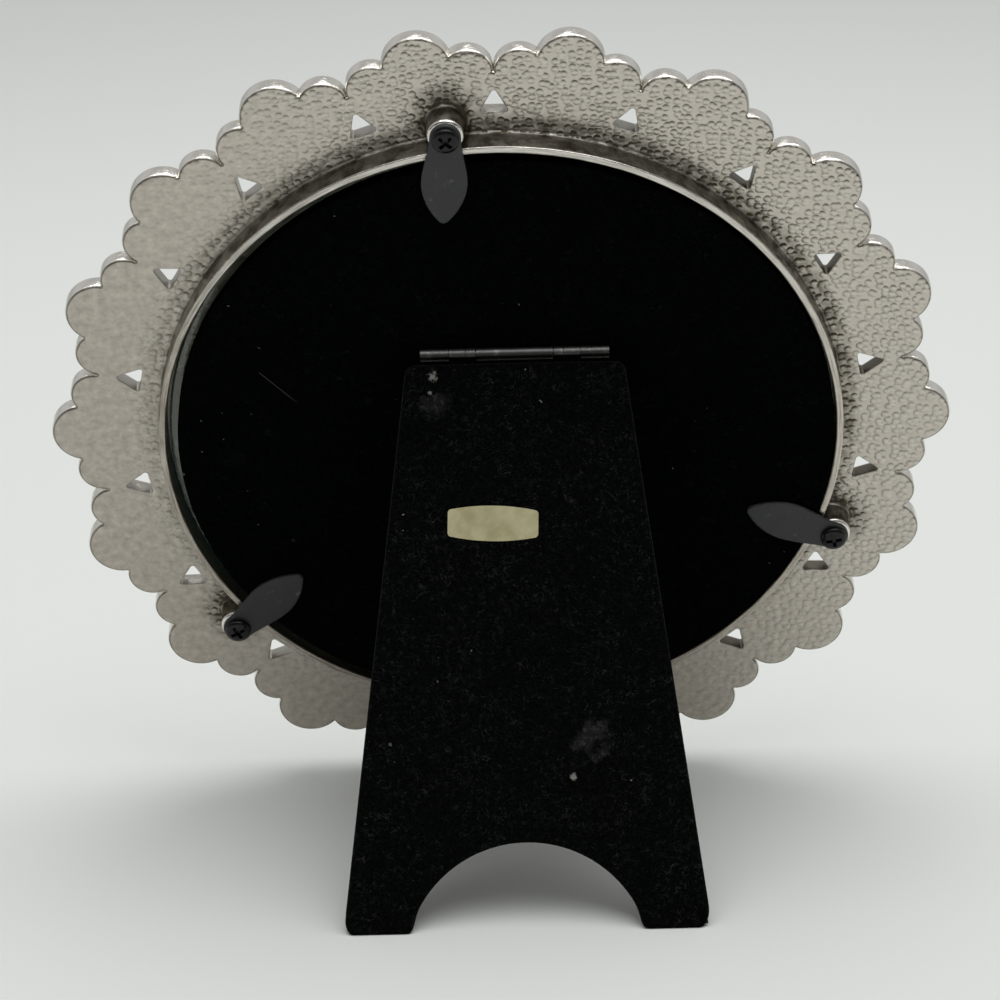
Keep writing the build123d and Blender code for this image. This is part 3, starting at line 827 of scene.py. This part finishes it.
glass_mesh = as_mesh(lathe(glass_profile, glass_sides), "picture glass")
glass_mesh.transform(Matrix.Translation((0, -glass_drop, 0)))
glass_finish = finish("picture glass", settle_glass)
stand("picture_glass", glass_mesh, bench, glass_finish, "frame", ["glass_disc"])


# The photo card is thin card with a plain pale face towards the glass. Nothing but the backing holds
# it, pressed flat on the glass.
def settle_card(nodes):
    place = nodes.bench_place()
    fibres = nodes.noise(place, 0.35 * mm, 4, 0.6)
    tone = nodes.noise(place, 22 * mm, 2)
    colour = nodes.mix(tone * 0.6 + fibres * 0.3, (0.74, 0.72, 0.68, 1), (0.62, 0.60, 0.56, 1))
    return nodes.surface(colour, 0.55 + fibres * 0.15, fibres, 0.03 * mm, 0.5)


def dress(material, *names):
    """Gives CAD nodes a finish."""
    for name in names:
        for slot in frame["nodes"][name].material_slots:
            slot.material = material


dress(finish("photo card", settle_card), "photo_card")


# The backing board is brown fibreboard, lined with black paper towards the card. Behind, where the
# velvet is glued on, it is coloured near black as painted shade, for where it shows in the window
# round the hinge barrel. The leg has a core of the same board.
painted_shade_levels = (2.9, 3.1)


def settle_fibreboard(nodes):
    place = nodes.bench_place()
    fibres = nodes.noise(place, 0.5 * mm, 5, 0.7)
    flecks = nodes.noise(place, 1.6 * mm, 2)
    colour = nodes.mix(fibres * 0.7 + flecks * 0.3, (0.30, 0.19, 0.11, 1), (0.13, 0.08, 0.045, 1))
    # Painted shade: near black on the back of the board.
    painted_shade_black = nodes.rise(nodes.split(place)[2], painted_shade_levels)
    colour = nodes.mix(painted_shade_black, colour, grey(0.004))
    return nodes.surface(colour, 0.78 + fibres * 0.15, fibres, 0.08 * mm, 0.7)


def settle_lining_paper(nodes):
    grain = nodes.noise(nodes.bench_place(), 0.3 * mm, 4, 0.6)
    colour = nodes.mix(grain, (0.02, 0.02, 0.022, 1), (0.045, 0.044, 0.045, 1))
    return nodes.surface(colour, 0.68 + grain * 0.15, grain, 0.03 * mm, 0.6)


dress(finish("brown fibreboard", settle_fibreboard), "backing_board", "leg_board")
dress(finish("black lining paper", settle_lining_paper), "board_lining")


# Black velvet is glued over the back of the board and round its edge, with a window for the hinge
# barrel. Its short pile swallows nearly all light and has caught a few pale specks.
backing_x = 0.75 * mm
backing_y = -0.35 * mm
backing_radius = 50.0 * mm
backing_low = 1.8 * mm
velvet_round = 0.4 * mm
velvet_step = 2.5 * mm
velvet_sides = 288
cloth = 0.45 * mm
hinge_centre = Vector((2.25, 16.1, 4.4)) * mm
window_size = Vector((29.0, 2.7, 2.0)) * mm
hair_start = Vector((-36.3, 13.7, 4.3)) * mm
hair_end = Vector((-30.3, 7.45, 4.3)) * mm
hair_width = 0.11 * mm
speck_tone = (0.24, 0.23, 0.21, 1)
board_marks = [((-40.7, -2.5, 4.3), 2.0, 0.5), ((-35.4, 2.6, 4.3), 0.7, 0.9)]


def curled_fibres(nodes, place, pitch, width, share):
    """Thin curled lines, where a slow noise crosses its middle, kept over a share of the surface."""
    wander = nodes.noise(place, pitch, distortion=1.8)
    here = nodes.step(nodes.noise(place, pitch * 0.55, 2), 1 - share, 1.08 - share)
    return (1 - nodes.step(abs(wander - 0.5), 0.0, width)) * here


def spot(nodes, place, centre, radius):
    """1 at a place on the surface, falling to 0 at a ragged edge about a radius from it."""
    gap = nodes.vector("DISTANCE", place, Vector(centre) * mm, "Value")
    radius = radius * mm
    ragged = gap + (nodes.noise(place, radius * 0.9, 4, 0.7) - 0.5) * radius * 3.2
    return 1 - nodes.step(ragged, radius * 0.4, radius)


def settle_velvet(nodes, dark, pale, lint, sheen, marks):
    """Flocked cloth: mottled pile, curled fibres on it, and marks of centre, radius and strength."""
    place = nodes.bench_place()
    pile = nodes.noise(place, 0.35 * mm, 5, 0.8)
    brushed = nodes.noise(place, 7 * mm, 4, 0.65)
    tufts = nodes.step(nodes.noise(place, 0.9 * mm, 4, 0.75), 0.5, 0.68)
    long_fibres = curled_fibres(nodes, place, 3.4 * mm, 0.016, 0.5)
    short_fibres = curled_fibres(nodes, place, 1.9 * mm, 0.026, 0.46)
    fibres = nodes.most(long_fibres, short_fibres) * lint
    share = nodes.step(pile, 0.35, 0.8) * 0.16 + tufts * nodes.step(brushed, 0.3, 0.65) * 0.17
    share = share + fibres * nodes.step(pile, 0.3, 0.6) * nodes.step(brushed, 0.2, 0.6)
    far = nodes.step(nodes.noise(place, 17 * mm, 1), 0.55, 0.7)
    specks = nodes.step(nodes.noise(place, 1.1 * mm, 1), 0.76, 0.79) * far
    for centre, radius, strength in marks:
        mark = spot(nodes, place, centre, radius)
        share = share + mark * (0.3 + tufts * 0.7) * strength
        if strength > 1:
            specks = nodes.most(specks, mark)
    colour = nodes.mix(nodes.least(share, 1.0), dark, pale)
    colour = nodes.mix(specks, colour, speck_tone)
    soft = {"Specular IOR Level": 0.0, "Sheen Weight": sheen, "Sheen Roughness": 0.4}
    return nodes.surface(colour, 0.85 + pile * 0.15, pile, 0.25 * mm, 0.8, soft)


def shell(skin, name):
    """A mesh of an open skin given the thickness of the cloth inwards."""
    turned_out(skin)
    if max(skin.faces, key=lambda face: face.calc_center_median().z).normal.z < 0:
        bmesh.ops.reverse_faces(skin, faces=skin.faces)
    piece = placed(name, as_mesh(skin, name))
    wrap = piece.modifiers.new("cloth", "SOLIDIFY")
    wrap.thickness = cloth
    wrap.offset = -1
    return evaluated(piece)


def edge_rows(low, high, radius):
    """Rows of inset and level up a straight edge and round its upper corner."""
    rows = [(0, low), (0, (low + high - radius) / 2)]
    for angle in np.linspace(0, math.pi / 2, round_steps + 1):
        rows.append((radius * (1 - math.cos(angle)), high - radius * (1 - math.sin(angle))))
    return rows


def block(place, size):
    """A box of a size, as a shape."""
    shape = bmesh.new()
    bmesh.ops.create_cube(shape, size=1)
    shape.transform(place @ Matrix.Diagonal((*size, 1)))
    return shape


velvet_edge = edge_rows(backing_low, rim_height, velvet_round)
velvet_loop = ring_at(backing_radius, full_turn(velvet_sides))
velvet_skin = plate(velvet_loop, velvet_edge, velvet_step, bottom=False)
velvet_skin.transform(Matrix.Translation((backing_x, backing_y, 0)))
backing_mesh = cut(shell(velvet_skin, "board velvet"), block(Matrix.Translation(hinge_centre), window_size))


def settle_board_velvet(nodes):
    """Board velvet: pale pile dimmer than the leg's, as painted shade in its rebate; one straight hair."""
    dark = (0.0012, 0.0014, 0.0015, 1)
    pale = (0.011, 0.0115, 0.0115, 1)
    inputs = settle_velvet(nodes, dark, pale, 0.7, 0.004, board_marks)
    hair = (hair_end - hair_start).normalized()
    length = (hair_end - hair_start).length
    offset = nodes.vector("SUBTRACT", nodes.bench_place(), hair_start)
    reach = nodes.vector("DOT_PRODUCT", offset, hair, "Value")
    aside = abs(nodes.vector("DOT_PRODUCT", offset, Vector((hair.y, -hair.x, 0)), "Value"))
    line = (1 - nodes.step(aside, hair_width * 0.4, hair_width)) * nodes.step(reach, 0.0, 0.4 * mm)
    line = line * (1 - nodes.step(reach, length * 0.7, length))
    inputs["Base Color"] = nodes.mix(line * 0.9, inputs["Base Color"], (0.05, 0.049, 0.046, 1))
    return inputs


board_velvet = finish("board velvet", settle_board_velvet)
stand("board_velvet_cover", backing_mesh, bench, board_velvet, "frame", ["backing_velvet"])


# The hinge is two leaves of black-lacquered sheet steel curled round a wire pin. Three rivets hold
# each leaf, under the velvet, and only the barrel shows.
past_barrel = (1.02, 1.12)


def settle_lacquer(nodes):
    place = nodes.bench_place()
    y, z = nodes.split(place)[1:]
    grain = nodes.noise(place, 0.6 * mm, 4, 0.6)
    scuffs = nodes.step(nodes.noise(place, 2.2 * mm, 5, 0.7), 0.52, 0.7)
    # Off the barrel the leaves are coloured near black and made rougher, as painted shade in the gap below
    # it.
    flat = nodes.rise(span(y - hinge_centre.y, z - hinge_centre.z), past_barrel)
    colour = nodes.mix(scuffs, (0.13, 0.13, 0.128, 1), (0.24, 0.235, 0.225, 1))
    colour = nodes.mix(flat, colour, grey(0.004))
    rough = 0.3 + grain * 0.16 + flat * 0.4
    return nodes.surface(colour, rough, grain, 0.05 * mm, 0.5, {"Metallic": 1.0})


def settle_rivet(nodes):
    grain = nodes.noise(nodes.bench_place(), 0.4 * mm, 3, 0.6)
    colour = nodes.mix(grain, (0.42, 0.41, 0.40, 1), (0.56, 0.55, 0.53, 1))
    return nodes.surface(colour, 0.3 + grain * 0.2, grain, 0.02 * mm, 0.5, {"Metallic": 1.0})


dress(finish("hinge lacquer", settle_lacquer), "board_hinge_leaf", "leg_hinge_leaf", "hinge_pin")
dress(finish("rivet steel", settle_rivet), "board_hinge_rivets", "leg_hinge_rivets")


# The easel leg is a tapered board under velvet, which is wrapped round its edges and soles and glued.
# An arch between the feet was cut before it was covered. Its front has a thin black lining.
leg_open = math.radians(37)
leg_place = bench @ Matrix.Translation(hinge_centre) @ Matrix.Rotation(-leg_open, 4, "X")
leg_top = -1.6 * mm
leg_sole = -84.99 * mm
leg_top_half = 16.3 * mm
leg_foot_half = 27.3 * mm
leg_front = 0.6 * mm
leg_back = 3.7 * mm
leg_round = 0.55 * mm
leg_edge_step = 0.8 * mm
leg_step = 1.6 * mm
lining_front = 0.2 * mm
lining_inset = 0.2 * mm
lining_edge_step = 1.0 * mm
lining_step = 3 * mm
top_corner = 1.7 * mm
left_corner = 1.3 * mm
right_corner = 1.7 * mm
arch_corner = 1.2 * mm
arch_rise = 12.0 * mm
arch_radius = 18.4 * mm
arch_step = 1.0 * mm
arch_foot = math.sqrt(arch_radius ** 2 - (arch_radius - arch_rise) ** 2)
sole_slant = 0.3806
slant_from = 2.2 * mm
slant_over = 2 * mm
leg_marks = [
    ((-10.0, 15.6, 9.4), 0.75, 1.5), ((-10.5, 13.7, 10.8), 0.35, 1.2), ((-10.1, 12.3, 11.9), 2.4, 0.8),
    ((13.2, -27.4, 41.8), 3.8, 1.0), ((9.6, -32.2, 45.4), 0.6, 1.5),
]


def leg_loop(inset, step):
    """Outline of the leg, anticlockwise from its top right corner."""
    top_half = leg_top_half - inset
    foot_half = leg_foot_half - inset
    centre = np.array((0, leg_sole + arch_rise - arch_radius))
    start = np.array((arch_foot + inset, leg_sole))
    arch = arc(centre, np.linalg.norm(start - centre), start, start * np.array((-1, 1)), arch_step)[::-1]
    corners = [(top_half, leg_top - inset, top_corner), (-top_half, leg_top - inset, top_corner)]
    corners += [(-foot_half, leg_sole, left_corner), (*arch[0], arch_corner)]
    corners += [(x, y, 0) for x, y in arch[2:-2]]
    corners += [(*arch[-1], arch_corner), (foot_half, leg_sole, right_corner)]
    return rounded_loop(corners, step)


def slanted(shape):
    """A leg with its feet moved down to the floor on which it stands open, by their place in the depth."""
    for vert in shape.verts:
        share = min(max((leg_sole + slant_from - vert.co.y) / slant_over, 0), 1)
        vert.co.y -= sole_slant * (vert.co.z - lining_front) * share
    return shape


def settle_leg_velvet(nodes):
    return settle_velvet(nodes, (0.0006, 0.0008, 0.001, 1), grey(0.04), 0.6, 0.05, leg_marks)


leg_edge = edge_rows(leg_front, leg_back, leg_round)
leg_skin = slanted(plate(leg_loop(0, leg_edge_step), leg_edge, leg_step, bottom=False))
leg_mesh = shell(leg_skin, "leg velvet")
leg_velvet = finish("leg velvet", settle_leg_velvet)
stand("leg_velvet_cover", leg_mesh, leg_place, leg_velvet, "leg", ["leg_velvet"])
lining_edge = [(0, lining_front), (0, leg_front)]
lining = slanted(plate(leg_loop(lining_inset, lining_edge_step), lining_edge, lining_step))
lining_mesh = as_mesh(turned_out(lining), "leg lining")
leg_lining = finish("leg lining", settle_lining_paper)
stand("leg_lining_sheet", lining_mesh, leg_place, leg_lining, "leg", ["leg_lining"])


# A small label of cream paper with bowed long sides and a faint sheen is stuck on the leg by hand,
# a little askew. It is blank, and stained by age.
def settle_label(nodes):
    place = nodes.bench_place()
    fibres = nodes.noise(place, 0.25 * mm, 4, 0.65)
    stain = nodes.step(nodes.noise(place, 3.5 * mm, 3), 0.35, 0.7)
    colour = nodes.mix(stain * 0.7 + fibres * 0.3, (0.60, 0.555, 0.345, 1), (0.37, 0.335, 0.17, 1))
    return nodes.surface(colour, 0.42 + fibres * 0.15, fibres, 0.02 * mm, 0.6)


dress(finish("label paper", settle_label), "blank_label")


# Three turn buttons, leaves stamped from sheet metal and painted charcoal, hold the backing in. Each
# is crowned along its blade and bends down a little towards its tip. Their paint is paler towards the
# right and darkest on the left one.
leaf_turns = {"top": -10.0, "left": 4.0, "right": -1.2}
leaf_head = 2.3 * mm
leaf_half = 3.4 * mm
leaf_widest = 7.6 * mm
leaf_tip = 0.5 * mm
leaf_length = 14.8 * mm
leaf_crease = 3.2 * mm
leaf_thickness = 0.7 * mm
leaf_edge = 0.12 * mm
leaf_round = 0.2 * mm
leaf_crown = 0.16 * mm
crown_level = 0.3 * mm
crown_reach = 3 * mm
leaf_tip_drop = 0.2 * mm
leaf_bore = 1.08 * mm
leaf_bore_sides = 28
leaf_step = 0.5 * mm
leaf_head_step = 0.4 * mm
leaf_tip_step = 0.2 * mm
flank_places = 14
head_run = np.array((0, 7.0)) * mm
flank_run = np.array((0, 7.4)) * mm
tip_run = np.array((-5.0, 5.0)) * mm
leaf_paler_reach = (-45, -15)


def hermite(start, start_run, end, end_run):
    """Places along a curve with given directions at its ends, without its end."""
    t = np.linspace(0, 1, flank_places, endpoint=False)[:, None]
    return (
        (2 * t ** 3 - 3 * t ** 2 + 1) * start + (t ** 3 - 2 * t ** 2 + t) * start_run
        + (3 * t ** 2 - 2 * t ** 3) * end + (t ** 3 - t ** 2) * end_run
    )


def leaf_mesh():
    """A leaf along +y from its screw, its underside at z 0 where it rests on the boss."""
    root = np.array((leaf_head, 0))
    wide = np.array((leaf_half, leaf_widest))
    end = np.array((leaf_tip, leaf_length - leaf_tip))
    flank = np.concatenate((
        hermite(root, head_run, wide, flank_run), hermite(wide, flank_run, end, tip_run), end[None],
    ))
    mirror = np.array((-1, 1))
    tip_centre = np.array((0, leaf_length - 1.4 * leaf_tip))
    tip = arc(tip_centre, 0.72 * leaf_tip, end, end * mirror, leaf_tip_step)
    head = arc(np.zeros(2), leaf_head, -root, root, leaf_head_step)
    loop = np.concatenate((flank, tip[1:-1], flank[::-1] * mirror, head[1:-1]))
    rows = [(leaf_edge, 0), (0, leaf_edge), *edge_rows(leaf_round, leaf_thickness, leaf_round)]
    shape = plate(loop, rows, leaf_step)
    for vert in shape.verts:
        along = max(vert.co.y - leaf_crease, 0)
        vert.co.z -= along * leaf_tip_drop / (leaf_length - leaf_crease)
        if vert.co.z > crown_level:
            vert.co.z -= leaf_crown * min(along / crown_reach, 1) * (vert.co.x / leaf_half) ** 2
    bore = lathe([(0, -mm), (leaf_bore, -mm), (leaf_bore, 2 * mm), (0, 2 * mm)], leaf_bore_sides)
    return cut(as_mesh(turned_out(shape), "leaf"), bore)


def settle_charcoal(nodes):
    place = nodes.bench_place()
    grain = nodes.noise(place, 0.35 * mm, 4, 0.65)
    chips = nodes.step(nodes.noise(place, 1.6 * mm, 5, 0.7), 0.62, 0.7)
    blotches = nodes.noise(place, 2.4 * mm, 4, 0.7)
    # Paler flecks towards the right; the left leaf is the darkest.
    worn = 0.45 + nodes.rise(nodes.split(place)[0], leaf_paler_reach) * 0.55
    share = (grain * 0.6 + blotches * 0.6) * worn
    colour = nodes.mix(share, (0.003, 0.004, 0.004, 1), (0.036, 0.038, 0.038, 1))
    colour = nodes.mix(chips * 0.6, colour, (0.13, 0.125, 0.12, 1))
    return nodes.surface(colour, 0.38 + grain * 0.16, grain, 0.05 * mm, 0.6)


nodes, given = tree_of("pieces at the bosses", {
    "Shape": "Geometry", "Count": "Int", "First angle": "Float", "Second angle": "Float",
    "Third angle": "Float", "Level": "Float", "Turn": "Float", "Finish": "Material",
})
index = nodes.add("GeometryNodeInputIndex")
is_second = nodes.most(1 - abs(index - 1), 0.0)
is_third = nodes.most(index - 1, 0.0)
is_first = 1 - is_second - is_third
angle = is_first * given["First angle"] + is_second * given["Second angle"] + is_third * given["Third angle"]
east = nodes.math("COSINE", angle) * boss_circle
north = nodes.math("SINE", angle) * boss_circle
points = nodes.add("GeometryNodeMeshLine", {}, {"Count": given["Count"], "Offset": (0, 0, 0)})
points = nodes.add("GeometryNodeSetPosition", {}, {
    "Geometry": points, "Position": nodes.xyz(X=east, Y=north, Z=given["Level"]),
})
copies = copied(nodes, points, given["Shape"], angle + math.pi / 2 + given["Turn"] * (index + 1))
send_out(nodes, copies, given["Finish"])
boss_tree = nodes.tree

charcoal = finish("charcoal paint", settle_charcoal)
leaf = leaf_mesh()
for side, degrees in boss_angles.items():
    mesh = grown(side + " leaf", leaf.copy(), boss_tree, {
        "Count": 1, "First angle": math.radians(degrees), "Level": boss_top,
        "Turn": math.radians(leaf_turns[side]), "Finish": charcoal,
    })
    body = side + "_button"
    stand(side + "_turn_leaf", mesh, bench, charcoal, body, ["turn_button_" + side])


# Each button turns on a pan-head screw of blacked steel with a cross recess, driven into the boss
# until the button just still turns.
screw_seat = 5.33 * mm
screw_shank = 1.0 * mm
screw_depth = 4.8 * mm
screw_point = 0.3 * mm
head_radius = 2.0 * mm
head_break = 0.08 * mm
head_edge = 0.45 * mm
head_height = 1.1 * mm
head_fullness = 0.7
head_angles = np.radians(np.linspace(0, 80, 8))[1:]
screw_sides = 40
cross_size = Vector((2.8, 0.66, 1.4)) * mm
cross_taper = 0.75
screw_turn = 0.7


def screw_mesh():
    """A screw with the underside of its head at z 0."""
    profile = [
        (0, -screw_depth), (screw_shank * 0.8, -screw_depth), (screw_shank, -screw_depth + screw_point),
        (screw_shank, 0), (head_radius - head_break, 0), (head_radius, head_break), (head_radius, head_edge),
    ]
    for angle in head_angles:
        level = head_edge + (head_height - head_edge) * math.sin(angle)
        profile.append((head_radius * math.cos(angle) ** head_fullness, level))
    profile.append((0, head_height))
    body = as_mesh(lathe(profile, screw_sides), "screw")
    for turn in (0, 90):
        place = Matrix.Rotation(math.radians(turn), 4, "Z") @ Matrix.Translation((0, 0, head_height))
        slot = block(place, cross_size)
        for vert in slot.verts:
            if vert.co.z < head_height:
                vert.co.x *= cross_taper
                vert.co.y *= cross_taper
        body = cut(body, slot)
    return body


def settle_screw(nodes):
    grain = nodes.noise(nodes.bench_place(), 0.3 * mm, 4, 0.6)
    colour = nodes.mix(grain, grey(0.003), grey(0.009))
    rough = 0.14 + grain * 0.14
    return nodes.surface(colour, rough, grain, 0.03 * mm, 0.5, {"Specular IOR Level": 0.3})


screw_black = finish("screw black", settle_screw)
screws = grown("screws", screw_mesh(), boss_tree, {
    "Count": 3, "First angle": math.radians(boss_angles["top"]),
    "Second angle": math.radians(boss_angles["left"]), "Third angle": math.radians(boss_angles["right"]),
    "Level": screw_seat, "Turn": screw_turn, "Finish": screw_black,
})
stand(
    "pan_head_screws", screws, bench, screw_black, "frame",
    ["button_screw_top", "button_screw_left", "button_screw_right"],
)


# The frame stands on a pale sweep under one large soft lamp, with a dimmer room behind the
# camera. The floor takes its shadow, and its colour darkens away from the frame as painted shade of
# the fading light.
floor_tone = (0.74, 0.76, 0.735, 1)
floor_far_shade_tone = (0.58, 0.60, 0.575, 1)
floor_half = 3.0
floor_centre_y = -0.05
near_floor = 0.2
far_floor = 0.7
corners = [(x * floor_half, y * floor_half, 0) for x, y in ((-1, -1), (1, -1), (1, 1), (-1, 1))]
floor_mesh = bpy.data.meshes.new("floor")
floor_mesh.from_pydata(corners, [], [(0, 1, 2, 3)])


def settle_floor(nodes):
    east, north, out = nodes.split(nodes.add("ShaderNodeTexCoord", output="Object"))
    # Painted shade: the floor darker away from the frame.
    far = nodes.step(span(east, north - floor_centre_y), near_floor, far_floor)
    colour = nodes.mix(far, floor_tone, floor_far_shade_tone)
    return {"Base Color": colour, "Roughness": 0.9, "Specular IOR Level": 0.1}


floor_mesh.materials.append(finish("pale floor", settle_floor))
placed("floor", floor_mesh)

world = bpy.data.worlds.new("room")
bpy.context.scene.world = world
world.use_nodes = True
nodes = Nodes(world.node_tree)
east, north, height = nodes.split(nodes.add("ShaderNodeTexCoord", output="Generated"))
behind = nodes.step(north, -0.1, 0.6) * (1 - nodes.step(height, 0.3, 0.85))
ahead = nodes.step(-1 * north, 0.2, 0.7) * nodes.step(height, 0.4, 0.75)
sky = nodes.mix(nodes.step(height, -0.1, 0.7), grey(0.46), grey(0.64))
sky = nodes.mix(ahead, sky, grey(0.36))
sky = nodes.mix(behind, sky, (0.05, 0.048, 0.045, 1))
nodes.feed(world.node_tree.nodes["Background"], {"Color": sky, "Strength": 1.0})


def facing(place, aim):
    """A turn at a place that looks to an aim."""
    return (aim - place).to_track_quat("-Z", "Y").to_matrix().to_4x4()


lamp_place = Vector((-0.12, 0.08, 1.35))
lamp_aim = Vector((0, 0, 0.05))
lamp = bpy.data.lights.new("soft lamp", "AREA")
lamp.shape = "SQUARE"
lamp.size = 1.4
lamp.energy = 12.5
placed("soft lamp", lamp).matrix_world = Matrix.Translation(lamp_place) @ facing(lamp_place, lamp_aim)

camera_place = Vector((0.43, 539.77, 257.95)) * mm
camera_aim = Vector((0.43, -6.41, 54.25)) * mm
camera_roll = Matrix.Rotation(math.radians(-1.306), 4, "Z")
camera_data = bpy.data.cameras.new("camera")
camera_data.sensor_width = 36
camera_data.lens = 136.98
camera_data.clip_start = 0.01
camera = placed("camera", camera_data)
camera.matrix_world = Matrix.Translation(camera_place) @ facing(camera_place, camera_aim) @ camera_roll
bpy.context.scene.camera = camera
bpy.context.scene.view_settings.view_transform = "Standard"
